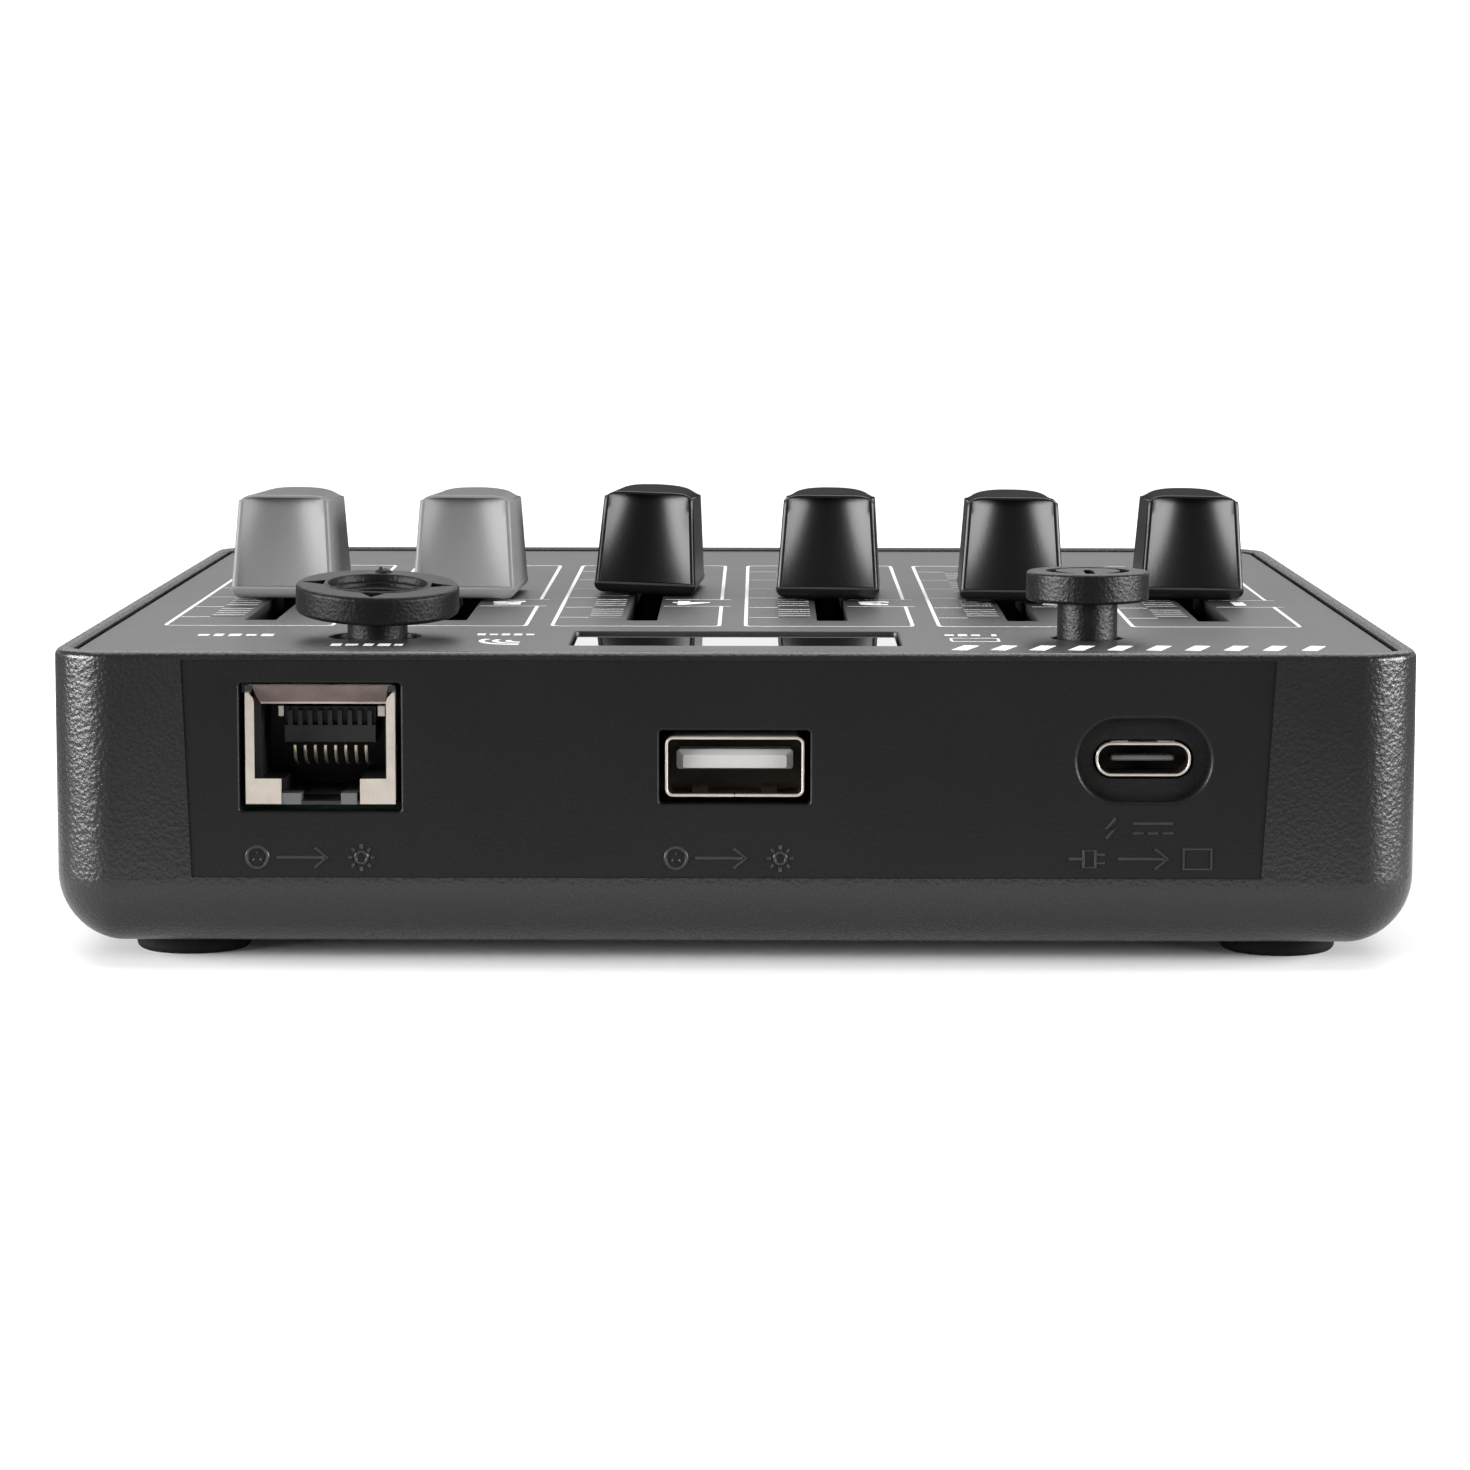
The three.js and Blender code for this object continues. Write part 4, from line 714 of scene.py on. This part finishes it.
def capGrid(low, high, yaw, roll):
    # loop of near side, corner, right side, corner, far side, corner, left side, corner for each row
    s = capShape
    level, width, depth, corner, pad, crown = capRows(low, high)
    flat = width - corner
    halfTop = s["topWidth"] / 2 - s["shoulder"]
    edge = np.minimum(width - s["border"] * np.minimum(width / halfTop, 1), flat * 0.98)
    across = np.linspace(-1, 1, s["padPoints"])[None, :]
    step = edge + s["padWiden"] * (pad >= 0)
    x = np.concatenate([-flat, -step, edge * across, step, flat], 1)
    # pad: a step in, then a hollow deepest in its middle; step and hollow change from bottom to top
    step = s["stepLow"] * (1 - pad) + s["stepTop"] * pad
    sag = s["sagLow"] * (1 - pad) + s["sagTop"] * pad
    none = 0 * flat
    dip = np.concatenate([none, none, (pad >= 0) * (step + sag * (1 - across**2)), none, none], 1)
    turn = np.linspace(0, quarter, 6)[None, 1:-1]
    side = np.linspace(-1, 1, s["sidePoints"])[None, :] * (depth - corner)
    half = (
        (x, dip - depth), (flat + corner * np.sin(turn), corner - depth - corner * np.cos(turn)),
        (width + 0 * side, side), (flat + corner * np.cos(turn), depth - corner + corner * np.sin(turn)),
    )
    planX, planY = (np.concatenate([sign * part[axis] for sign in (1, -1) for part in half], 1) for axis in (0, 1))
    # top: rounded off at both sides by a high power of the distance from the middle, and falling away
    # towards its far corners by a low power of it times the way back; both fade out below the top
    aside = np.minimum(np.abs(planX) / halfTop, 1)
    back = np.clip(planY / s["topDepth"] + 0.5, 0, 1)
    drop = s["endDrop"] * aside ** s["endPower"] + s["backDrop"] * back * aside ** s["backPower"]
    near = np.clip(1 + (level - level.max()) / s["dropFrom"], 0, 1) ** 2
    dome = s["crown"] * crown * (1 - aside ** s["backPower"])
    grid = np.stack([planX + s["aside"], planY, level + dome - drop * near], -1)
    # underside: the first loop drawn in, carried up into the cap, and closed there
    inner = grid[0] * s["drawnIn"]
    below = np.stack([inner * [0, 0, 1], inner, inner])
    below[:2, :, 2] += s["hollow"]
    middle = (low + high) / 2
    turned = turnBy((yaw, "Z"), (roll, "Y"))
    grid = (np.concatenate([below, grid]) - [0, 0, middle[2]]) @ turned.T + middle
    grid[..., 2] = np.minimum(grid[..., 2], high[2])
    return grid


def makeCaps():
    s = capShape
    tuck = np.array([0, 0, s["tuck"]])
    for number, yaw, roll in zip(range(1, 7), s["yaw"], s["roll"]):
        node = f"fader_cap_{number}"
        grid = capGrid(*boxMm(node), yaw, roll)
        # the body closes at the edge of the top, and the matt crown starts a little below it; the crown's darker tone
        # is painted shade on the top
        crownRow = len(grid) - len(s["loops"]) - 1
        rim = grid[crownRow:crownRow + 1]
        middle = rim * 0 + rim.mean(1, keepdims=True)
        body = np.concatenate([grid[:crownRow + 1], middle])
        crown = np.concatenate([middle - tuck, rim - tuck, grid[crownRow:]])
        grey = number <= s["greys"]
        finishes = (greyCapPlastic, greyCrownPlastic) if grey else (blackCapPlastic, blackCrownPlastic)
        for part, rows, finish in zip(("faderCap", "faderCrown"), (body, crown), finishes):
            shell = Shell()
            shell.grid(rows)
            slot = "cap_grey" if grey else "cap_black"
            shell.make(f"{part}{number}", finish, slot, node, body=f"fader_{number}", sharp=28)


makeCaps()
print("fader caps made")

# stick cap and power button

stickShape = {
    "disc": 8.0, "thick": 2.8, "edge": 0.45, "lift": 2.4, "lean": 5.5, "roll": 1.5, "offset": 0.2,
    "hub": 2.95, "hubBottom": 23.0, "hubShare": 0.3, "arrowTurns": (0, 2, 3), "sunk": 0.55,
    "arrow": ((7.48, 0), (5.23, 1.2), (5.23, -1.2)),
    # dish from its rim, with a bead and two steps: radius and depth below the top
    "dish": ((5.18, 0), (5.12, -0.06), (5.02, -0.08), (4.92, -0.04), (4.86, 0.04), (4.78, 0.62), (4.50, 0.72),
             (4.38, 0.76), (4.30, 1.04), (3.62, 1.14), (3.50, 1.18), (3.40, 1.36), (2.45, 1.42), (2.33, 1.45),
             (2.25, 1.52), (0.0, 1.55)),
    # low round boss and a small pip on it: radius, height and place
    "bosses": ((0.85, 0.45, (0, 6.45)), (0.24, 0.68, (-0.25, 6.2))),
}
powerShape = {
    "disc": 6.0, "thick": 2.9, "edge": 0.35, "lift": 3.7, "hub": 2.95, "hubBottom": 23.2, "hubShare": 0.5,
    "sunk": 0.6, "ring": 3.6, "ringWidth": 0.95, "gap": 50, "barHalf": (0.475, 2.45), "barMiddle": -1.65,
}


def discOnHub(s, origin, turn, holes, sunk):
    # disc with a rounded edge, holes and sunk shapes in its top, on a round hub;
    # points of the disc are turned, then carried to the origin
    def lift(points):
        return np.asarray(points) @ turn.T + origin

    top, floor, chamfer = s["thick"], s["thick"] - s["sunk"], 0.15
    shell = Shell()
    out, rise = bend(s["edge"])
    radii = s["disc"] - np.concatenate([out, out[::-1]])
    rows = circleRows([0, s["hub"], *radii], [0, 0, *rise, *(top - rise[::-1])], steps=96)
    shell.grid(lift(rows))
    shell.fill([rows[-1]] + holes + sunk, lambda plan: lift(flatAt(top)(plan)))
    for loop in sunk:
        shell.grid(lift([flatAt(top)(loop), flatAt(floor)(loop)]))
        shell.fill([loop], lambda plan: lift(flatAt(floor)(plan)))
    low, high, radius = s["hubBottom"], origin[2] + top * s["hubShare"], s["hub"]
    shell.grid(circleRows([0, radius - chamfer, radius, radius, radius - chamfer, 0],
                          [low, low, low + chamfer, high - chamfer, high, high], origin))
    return shell, lift


def makeStick():
    s = stickShape
    radii, depths = np.transpose(s["dish"])
    dish = circleRows(radii, s["thick"] - depths, steps=96)
    swings = [np.array(Matrix.Rotation(turns * quarter, 2)) for turns in s["arrowTurns"]]
    origin = np.array([stickPlace[0] + s["offset"], stickPlace[1], panelTop + s["lift"]])
    arrows = [s["arrow"] @ swing.T for swing in swings]
    shell, lift = discOnHub(s, origin, turnBy((s["roll"], "Y"), (s["lean"], "X")), [dish[0]], arrows)
    shell.grid(lift(dish))
    turn = np.linspace(0, quarter, 7)
    for radius, high, place in s["bosses"]:
        # a quarter turn of an ellipse, standing on a short skirt sunk into the disc
        radii = radius * np.cos(np.append(0, turn))
        levels = s["thick"] + np.append(-0.3, high * np.sin(turn) - 0.05)
        shell.grid(lift(circleRows(radii, levels, place, 24)))
    shell.make("stickCap", stickPlastic, "button_plastic", "stick_cap", body="stick")


def makePower():
    s = powerShape
    half = math.radians(s["gap"] / 2)
    turn = np.linspace(-quarter + half, 3 * quarter - half, 72)
    around = np.column_stack([np.cos(turn), np.sin(turn)])
    outer, inner = s["ring"] + s["ringWidth"] / 2, s["ring"] - s["ringWidth"] / 2
    ring = np.concatenate([outer * around, inner * around[::-1]])
    bar = roundRows(*s["barHalf"], 0.25, 0, (0, s["barMiddle"]), 3)[0, :, :2]
    origin = np.array([*powerPlace, panelTop + s["lift"]])
    shell, lift = discOnHub(s, origin, np.eye(3), [], [ring, bar])
    shell.make("powerButton", buttonPlastic, "button_plastic", "power_cap", body="power_button")


makeStick()
makePower()
print("stick and button made")

# feet

footShape = {"radius": 5.55, "rounding": 0.7, "ring": 4.1, "ringRun": 0.3, "floorLift": 0.12, "ringLift": 0.05}


def makeFeet():
    s = footShape
    out, rise = bend(s["rounding"], 6)
    ring = s["ring"] + s["ringRun"] * np.array([-1, 0, 1])
    for number in range(1, 5):
        low, high = boxMm(f"foot_{number}")
        radii = np.concatenate([[0], ring, s["radius"] - out, [s["radius"], 0]])
        level = np.concatenate([[s["floorLift"], s["floorLift"], s["ringLift"], 0], rise, [high[2], high[2]]])
        shell = Shell()
        shell.grid(circleRows(radii, level, (low + high) / 2))
        shell.make(f"rubberFoot{number}", footRubber, "foot_rubber", f"foot_{number}", sharp=40)


makeFeet()

# sockets: each is drawn as across from its middle, depth from its front, and height

networkShape = {
    "sheet": 0.3, "mouth": 0.7, "fold": 0.45, "lipWidth": 0.84, "tabWidth": 3.35, "tabHigh": 2.42, "lipTop": 10.35,
    "cornerCut": 0.55, "bevel": 0.07, "roofRun": 2.4, "roofDrop": 1.75, "roofIn": 0.62, "roofSide": 0.5,
    "nose": 0.12, "noseEnds": (1.25, 0.95), "steps": ((-3.7, -1.85), (1.9, 3.4)), "stepDeep": (0.1, 2.2),
    "stepHigh": (0.05, 1.1), "sillOver": 0.3, "sillDeep": (0.12, 5), "sillHigh": (0.02, 0.36),
    "liningIn": (0.12, 0.02), "liningFront": 0.5, "liningBack": 1, "liningLow": 0.3, "liningTop": 2.2,
    "combDeep": 4.6, "combBack": 11.1, "combHalf": 4.3, "combLow": 5.45, "combHigh": 8.75, "shiftX": 0.5,
    "ribLow": 7.05, "ribCount": 9, "ribPitch": 0.94, "ribSize": (0.42, 0.9), "ribGap": 0.7,
    "cutWidth": 0.66, "cutDeep": (0.03, 0.32), "cutRise": 0.36,
    "pinPitch": 0.97, "pinWidth": 0.3, "pinHigh": 5.1, "pinLow": 3.0, "pinStart": 4.85, "pinRun": 3.4,
    "springs": ((-4.17, -3.76), (5.2, 5.85)), "springDeep": (2.8, 3.6), "springHeights": (8.1, 9.05),
}
usbShape = {
    "sheet": 0.27, "halfHigh": 2.85, "corner": 0.75, "bevel": 0.1, "deep": 11.0, "plug": 4.6, "shadeSleeveFrom": 0.3,
    "legInset": 1.15, "legHalf": 0.45, "legDeep": 2.4, "springX": 3.25, "springWidth": 1.5, "springThick": 0.12,
    "springFrom": 0.8, "springRun": 3.6, "springRise": 0.6, "seam": 0.12, "seamDeep": 1.2,
    "tongueHalf": 5.5, "tongueLow": -0.45, "tongueTop": 1.42, "tongueFront": 1.75,
    "bevelTop": 0.5, "bevelEnd": 0.62, "bevelLow": 0.15,
}
inletShape = {
    "sheet": 0.24, "cornerShare": 0.93, "bevel": 0.09, "deep": 6.4, "plug": 4.2, "shadeSleeveFrom": 0.25,
    "tabX": 2.2, "tabHalf": 0.8, "tabDeep": (0.8, 2.2), "tongueHalf": 3.0, "tongueHigh": 0.46, "tongueDeep": 1.1,
    "tongueBevel": 0.12, "padPitch": 0.5, "padSize": (0.25, 2.4), "padDeep": 2.6,
}
shadeSleeveGap = 0.02


def tubeRows(halfX, halfZ, corner, s, steps=8):
    # drawn tube from its outside at the back, round its front edge, to the back of its inside
    turn = np.linspace(0, math.pi, 9)
    inset = np.concatenate([[0], s["sheet"] / 2 * (1 - np.cos(turn)), [s["sheet"]]])
    depth = np.concatenate([[s["deep"]], s["bevel"] * (1 - np.sin(turn)), [s["deep"]]])
    return roundRows(halfX - inset, halfZ - inset, np.maximum(corner - inset, 0.1), depth, steps=steps)


def sleeve(shell, halfX, halfZ, corner, s, steps=8):
    # painted shade: a dark metal sheet just inside a tube, where its inner walls lie in shade, closed by a block at
    # its depth
    thin = s["sheet"] + shadeSleeveGap
    rows = roundRows(halfX - thin, halfZ - thin, corner - thin, [s["shadeSleeveFrom"], s["plug"]], steps=steps)
    shell.grid(upright(rows))
    shell.fill([rows[-1]], wallAt(s["plug"]))


def sweepX(shell, profile, left, right):
    # a closed (depth, up) profile carried across between its two ends, with both ends closed
    shell.grid(np.stack([np.column_stack([edge + 0 * profile[:, 0], profile]) for edge in (left, right)]))
    for edge in (left, right):
        shell.fill([profile], lambda plan, x=np.mean(edge): np.column_stack([x + 0 * plan[:, 0], plan]))


def makeNetworkShield(origin, halfX, deep, tall):
    s = networkShape
    sheet, run, nose = s["sheet"], s["roofRun"], s["nose"]
    shell = Shell(origin)
    # folded box: outer and inner walls, open in front
    inset = np.array([0, 0, sheet, sheet])
    shell.solid(roundRows(halfX - inset, tall / 2 - inset, s["fold"] - inset,
                          [deep, s["mouth"], s["mouth"], deep - sheet], (0, tall / 2), 4), True)
    # side lips with their tabs, cut at the upper corners, with a small bevel in front
    lip, tab, top, cut = halfX - s["lipWidth"], halfX - s["tabWidth"], s["lipTop"], s["cornerCut"]
    half = np.array([
        (halfX, 0.05), (tab, 0.05), (tab, s["tabHigh"]), (lip, s["tabHigh"]), (lip, top - cut),
        (lip + 0.1, top - 0.45 * cut), (lip + 0.3, top - 0.1 * cut), (halfX - 0.25, top + 0.3), (halfX, top + 0.25),
    ])
    for side in (-1, 1):
        outline = half * [side, 1]
        inwards = outline.mean(axis=0) - outline
        shrunk = outline + inwards / np.linalg.norm(inwards, axis=1)[:, None] * s["bevel"]
        loops = ((outline, sheet), (outline, s["bevel"]), (shrunk, 0))
        shell.solid(np.stack([flatAt(depth)(loop) for loop, depth in loops]), True)
    # bright rounded edge at the inner end of the roof, and springs that press on the plug
    turn = np.linspace(0, 2 * math.pi, 13)[:-1]
    edge = np.column_stack([run + nose * np.cos(turn), tall - 0.12 - s["roofDrop"] + nose * np.sin(turn)])
    sweepX(shell, edge, s["noseEnds"][0] - halfX, halfX - s["noseEnds"][1])
    for ends in s["springs"]:
        shell.box(ends, s["springDeep"], s["springHeights"])
    shell.make("networkShield", mattNickel, "socket_nickel", "network_shield")
    # roof that slopes into the socket, wider at its front, in a darker nickel that paints the shade on its downward
    # slope
    roof = Shell(origin)
    drop = tall - s["roofDrop"]
    slope = np.array([(0.06, tall - 0.04), (run, drop - 0.10), (run + 0.1, drop + 0.05), (0.29, tall - 0.01)])
    narrow = halfX - s["roofIn"] - s["roofSide"] * (slope[:, 0] / run)
    sweepX(roof, slope, -narrow, narrow)
    roof.make("networkRoof", paintedShadeRoof, "socket_nickel")


def makeNetworkInside(origin, halfX, deep, tall):
    s = networkShape
    comb, steps, pins = Shell(origin), Shell(origin), Shell(origin)
    shift, face, back = s["shiftX"], s["combDeep"], s["combBack"]
    across = (shift - s["combHalf"], shift + s["combHalf"])
    comb.box(across, (face, back), (s["combLow"], s["ribLow"]))
    comb.box(across, (face + s["ribGap"], back), (s["ribLow"], s["combHigh"]))
    ribs = (np.arange(s["ribCount"]) - (s["ribCount"] - 1) / 2) * s["ribPitch"]
    comb.bars(shift + ribs, face + s["ribSize"][1] / 2, *s["ribSize"], s["ribLow"] - 0.02, s["combHigh"] - 0.3)
    # sill between the tabs, dark lining of the sides, and dark cuts at the upper corners before the fold
    inner = halfX - s["sheet"]
    sill = inner - s["tabWidth"] + s["sillOver"]
    comb.box((-sill, sill), s["sillDeep"], s["sillHigh"])
    for side in (-1, 1):
        comb.box(side * (inner - np.array(s["liningIn"])), (s["liningFront"], deep - s["liningBack"]),
                 (s["liningLow"], tall - s["liningTop"]))
        comb.box((side * (halfX - s["cutWidth"]), side * halfX), s["cutDeep"],
                 (s["lipTop"] + s["cutRise"], tall - 0.02))
    comb.make("networkComb", insulatorPlastic, "black_insulator", "network_contacts")
    for ends in s["steps"]:
        steps.box(ends, s["stepDeep"], s["stepHigh"])
    steps.make("networkSteps", tonguePlastic, "black_insulator")
    # pins: a round section carried along a quarter turn, from high at the front to low at the back
    turn = np.linspace(0, 2 * math.pi, 9)[:-1]
    wide, thick = s["pinWidth"] / 2 * np.cos(turn), s["pinWidth"] / 2 * np.sin(turn)
    along = np.linspace(0, 1, 10)[:, None]
    pin = np.stack([
        wide + 0 * along, s["pinStart"] + s["pinRun"] * (1 - np.cos(along * quarter)) + 0.6 * thick,
        s["pinHigh"] - (s["pinHigh"] - s["pinLow"]) * np.sin(along * quarter) + 0.8 * thick * along,
    ], -1)
    for place in np.arange(8) - 3.5:
        pins.grid(pin + [shift + place * s["pinPitch"], 0, 0])
    pins.make("networkContacts", goldContact, "socket_nickel", sharp=40)


def makeUsbSocket():
    s = usbShape
    low, high = boxMm("usb_a_shell")
    halfX, halfZ, back = (high[0] - low[0]) / 2, s["halfHigh"], high[1] - low[1]
    origin = ((low[0] + high[0]) / 2, low[1], holeShape["usbA"]["middle"][1])
    shell, inside, tongue = Shell(origin), Shell(origin), Shell(origin)
    shell.solid(tubeRows(halfX, halfZ, s["corner"], s), True)
    for side in (-1, 1):
        # legs of the shell that stand on the board
        leg = side * (halfX - s["legInset"])
        ends = (leg - s["legHalf"], leg + s["legHalf"])
        shell.box(ends, (back - s["legDeep"], back), (low[2] - origin[2], 0.1 - halfZ))
    shell.box((-halfX, halfX), (s["deep"] - 0.1, back), (-halfZ, halfZ))
    shell.make("usbShell", mattNickel, "socket_nickel", "usb_a_shell")
    sleeve(inside, halfX, halfZ, s["corner"], s)
    # spring leaves cut from the floor: they rise towards the inside, with the free end bent down; like the seam
    # below, they take the dark metal of painted shade
    floor = s["sheet"] - halfZ
    along = np.linspace(0, 1, 9)[:, None]
    edgeX, edgeZ = np.array([-0.5, 0.5, 0.5, -0.5]) * s["springWidth"], np.array([0, 0, -1, -1]) * s["springThick"]
    leaf = np.stack(np.broadcast_arrays(
        edgeX, s["springFrom"] + s["springRun"] * along,
        floor + 0.03 + s["springRise"] * np.sin(along * math.pi * 0.8) + edgeZ), -1)
    for side in (-1, 1):
        inside.rod(leaf + [side * s["springX"], 0, 0])
    # seam of the bent shell at the middle of its lower side
    inside.box((-s["seam"] / 2, s["seam"] / 2), (0.01, s["seamDeep"]), (0.01 - halfZ, floor + 0.01))
    inside.make("usbShadeSleeve", paintedShadeLiner, "socket_nickel")
    # tongue: a bar with rounded corners, bevelled most at its top and ends
    rows = []
    for depths, corner, below, above, ends in (
        ((s["plug"] + 0.2, s["tongueFront"] + 0.45), 0.32, 0, 0, 0),
        ((s["tongueFront"] + 0.03, s["tongueFront"]), 0.2, s["bevelLow"], s["bevelTop"], s["bevelEnd"]),
    ):
        lower, upper = s["tongueLow"] + below, s["tongueTop"] - above
        middle = (0, (upper + lower) / 2)
        rows.append(roundRows(s["tongueHalf"] - ends, (upper - lower) / 2, corner, depths, middle, 4))
    tongue.solid(np.concatenate(rows), True)
    tongue.make("usbTongue", ivoryPlastic, "ivory_plastic", "usb_a_tongue", sharp=25)


def makeInlet():
    s = inletShape
    low, high = boxMm("usb_c_shell")
    halfX, _, halfZ = (high - low) / 2
    origin = ((low[0] + high[0]) / 2, low[1], (low[2] + high[2]) / 2)
    shell, inside, tongue = Shell(origin), Shell(origin), Shell(origin)
    shell.solid(tubeRows(halfX, halfZ, halfZ * s["cornerShare"], s, 12), True)
    for side in (-1, 1):
        # small spring tabs on the roof of the shell
        tab = side * s["tabX"]
        shell.box((tab - s["tabHalf"], tab + s["tabHalf"]), s["tabDeep"], (halfZ - 0.03, halfZ + 0.09))
    shell.make("inletShell", mattNickel, "socket_nickel", "usb_c_shell")
    # painted shade: the dark sheet inside the shell
    sleeve(inside, halfX, halfZ, halfZ * s["cornerShare"], s, 12)
    inside.make("inletShadeSleeve", paintedShadeLiner, "socket_nickel")
    thick, bevel = s["tongueHigh"] / 2, s["tongueBevel"]
    inset, depth = np.array([0, 0, bevel]), [s["plug"] + 0.2, s["tongueDeep"] + bevel, s["tongueDeep"]]
    tongue.solid(roundRows(s["tongueHalf"] - inset, thick - inset, 0.14, depth, steps=3), True)
    tongue.bars(np.arange(-5, 6) * s["padPitch"], s["padDeep"], *s["padSize"], -thick - 0.02, thick + 0.02)
    tongue.make("inletTongue", tonguePlastic, "black_insulator", "usb_c_tongue")


def makeNetwork():
    low, high = boxMm("network_shield")
    origin = ((low[0] + high[0]) / 2, low[1], low[2])
    for make in (makeNetworkShield, makeNetworkInside):
        make(origin, *((high - low) / [2, 1, 1]))


makeNetwork()
makeUsbSocket()
makeInlet()
print("sockets made")

# display

displayShape = {"gap": 0.3, "corner": 0.5, "drop": 0.33, "bevel": 0.06, "flange": 1.7, "flangeThick": 0.8}


def makeDisplay():
    s = displayShape
    low, high = boxMm("display_window")
    top, flangeTop, bevel = panelTop - s["drop"], low[2] + s["flangeThick"], s["bevel"]
    halfX, halfY = np.array(windowHalf) - s["gap"]
    out = np.array([s["flange"], s["flange"], 0, 0, -bevel])
    level = [low[2], flangeTop, flangeTop, top - bevel, top]
    shell = Shell()
    shell.solid(roundRows(halfX + out, halfY + out, s["corner"], level, windowPlace))
    shell.make("displayWindow", displayCover, "window_plastic", "display_window")


makeDisplay()
print("feet and display made")

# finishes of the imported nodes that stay, by the start of their names; the longest match counts

nodeFinishes = (
    (circuitBoard, "main_board display_board radio_board"), (batteryFoil, "battery"), (foamPad, "battery_pad"),
    (zincSteel, "case_screw radio_can stick_switch_cover stick_ring stick_stem"), (blackedSteel, "fader_case"),
    (insulatorPlastic, "fader_lever display_header stick_switch_base stick_tray power_switch network_insulator"
                       " usb_c_tongue usb_c_base"),
    (ivoryPlastic, "power_plunger usb_a_tongue battery_socket"), (leadPlastic, "battery_lead"),
    (socketNickel, "network_shield usb_a_shell usb_c_shell"), (goldContact, "network_contacts"),
    (displayCover, "display_glass"),
)
finishOf = {stem: finish for finish, stems in nodeFinishes for stem in stems.split()}
for name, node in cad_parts.items():
    if not node.hide_render:
        stem = max((stem for stem in finishOf if name.startswith(stem)), key=len)
        node.data.materials.clear()
        node.data.materials.append(finishOf[stem])
print("packed nodes finished")

# floor, lights and camera; metres for the floor and the lights

stageShape = {
    "camera": (2.37, -478.6, 69.9), "pitch": -6.614, "yaw": 0.3265, "roll": 0.07, "lens": 108.07,
    "worldNear": 0.05, "worldBehind": (-0.1, 0.6), "worldSeen": 1.05,
    "worldHeights": ((0.0, 0.08), (0.080, 0.08), (0.088, 1.35), (0.125, 1.35), (0.17, 0.45), (0.26, 0.14),
                     (0.5, 0.3)),
    "floorHalf": 0.75, "floorSeen": 0.92, "floorNear": 0.75, "floorAway": 0.12, "nearEnds": 0.09, "awayStarts": 0.17,
    # place, target, size and power of each light
    "lights": {
        "topSoftbox": ((0, 0.25, 0.95), (0, 0, 0), (1.2, 1.0), 9.0),
        "backSoftbox": ((0, 0.95, 0.72), (0, 0, 0), (1.6, 0.7), 6.0),
        "rightSoftbox": ((0.80, -0.28, 0.18), (0, 0, 0.03), (0.75, 0.30), 16.0),
        "leftSoftbox": ((-0.78, -0.34, 0.18), (0, 0, 0.03), (0.75, 0.30), 18.0),
    },
}


def makeFloor():
    # pale matt floor; its own view is brighter than the light it throws back on the object
    s = stageShape
    mesh = bpy.data.meshes.new("paleFloor")
    half = s["floorHalf"]
    mesh.from_pydata([(-half, -half, 0), (half, -half, 0), (half, half, 0), (-half, half, 0)], [], [(0, 1, 2, 3)])
    finish = Finish("paleFloor")
    direct = finish.node("ShaderNodeLightPath", out="Is Camera Ray")
    seen = finish.tint(finish.noise(120), shade(s["floorSeen"]), shade(s["floorSeen"] * 1.03))
    reach = finish.node("ShaderNodeVectorMath", {"operation": "LENGTH"}, {0: finish.place}, out=1)
    away = finish.node("ShaderNodeMapRange", {"interpolation_type": "SMOOTHSTEP"}, {
        "Value": reach, "From Min": s["nearEnds"], "From Max": s["awayStarts"],
    })
    lit = finish.tint(away, shade(s["floorNear"]), shade(s["floorAway"]))
    matt = finish.node("ShaderNodeBsdfDiffuse", {}, {"Color": finish.tint(direct, lit, seen)})
    finish.link(matt, "Material Output", "Surface")
    mesh.materials.append(finish.owner)
    floor = placed("paleFloor", mesh)


def makeWorld():
    # white to the camera; for the rest a bright band low behind the object, and dim elsewhere
    s = stageShape
    world = Nodes(bpy.data.worlds.new("paleStudio"))
    scene.world = world.owner
    split = world.node("ShaderNodeSeparateXYZ", {}, {0: world.node("ShaderNodeTexCoord", out="Generated")})
    backwards, upwards = (Flow(world, split.socket.node.outputs[axis]) for axis in ("Y", "Z"))
    start, end = s["worldBehind"]
    behind = world.node("ShaderNodeMapRange", {}, {"Value": backwards, "From Min": start, "From Max": end})
    stops = [(height, shade(level)) for height, level in s["worldHeights"]]
    band = world.node("ShaderNodeValToRGB", {"stops": stops}, {"Fac": upwards})
    around = world.node("ShaderNodeMix", {}, {0: behind, 2: s["worldNear"], 3: band})
    direct = world.node("ShaderNodeLightPath", out="Is Camera Ray")
    world.link(world.node("ShaderNodeMix", {}, {0: direct, 2: around, 3: s["worldSeen"]}), "Background", "Strength")
    world.tree.nodes["Background"].inputs["Color"].default_value = (1, 1, 1, 1)


def makeLights():
    for name, (place, target, size, power) in stageShape["lights"].items():
        light = bpy.data.lights.new(name, "AREA")
        light.shape, light.size, light.size_y, light.energy = "RECTANGLE", *size, power
        lamp = placed(name, light)
        lamp.location = place
        lamp.rotation_euler = (Vector(target) - Vector(place)).to_track_quat("-Z", "Y").to_euler()
        lamp.visible_camera = False


def makeCamera():
    s = stageShape
    camera = bpy.data.cameras.new("studioCamera")
    camera.lens, camera.sensor_width, camera.clip_start = s["lens"], 36, 0.01
    view = placed("studioCamera", camera)
    view.location = Vector(s["camera"]) * millimetre
    turned = turnBy((s["yaw"], "Z"), (90 + s["pitch"], "X"), (s["roll"], "Z"))
    view.rotation_euler = Matrix(turned).to_euler()
    scene.camera = view


makeFloor()
makeWorld()
makeLights()
makeCamera()
scene.view_settings.view_transform = "Standard"
print("floor, lights and camera made")
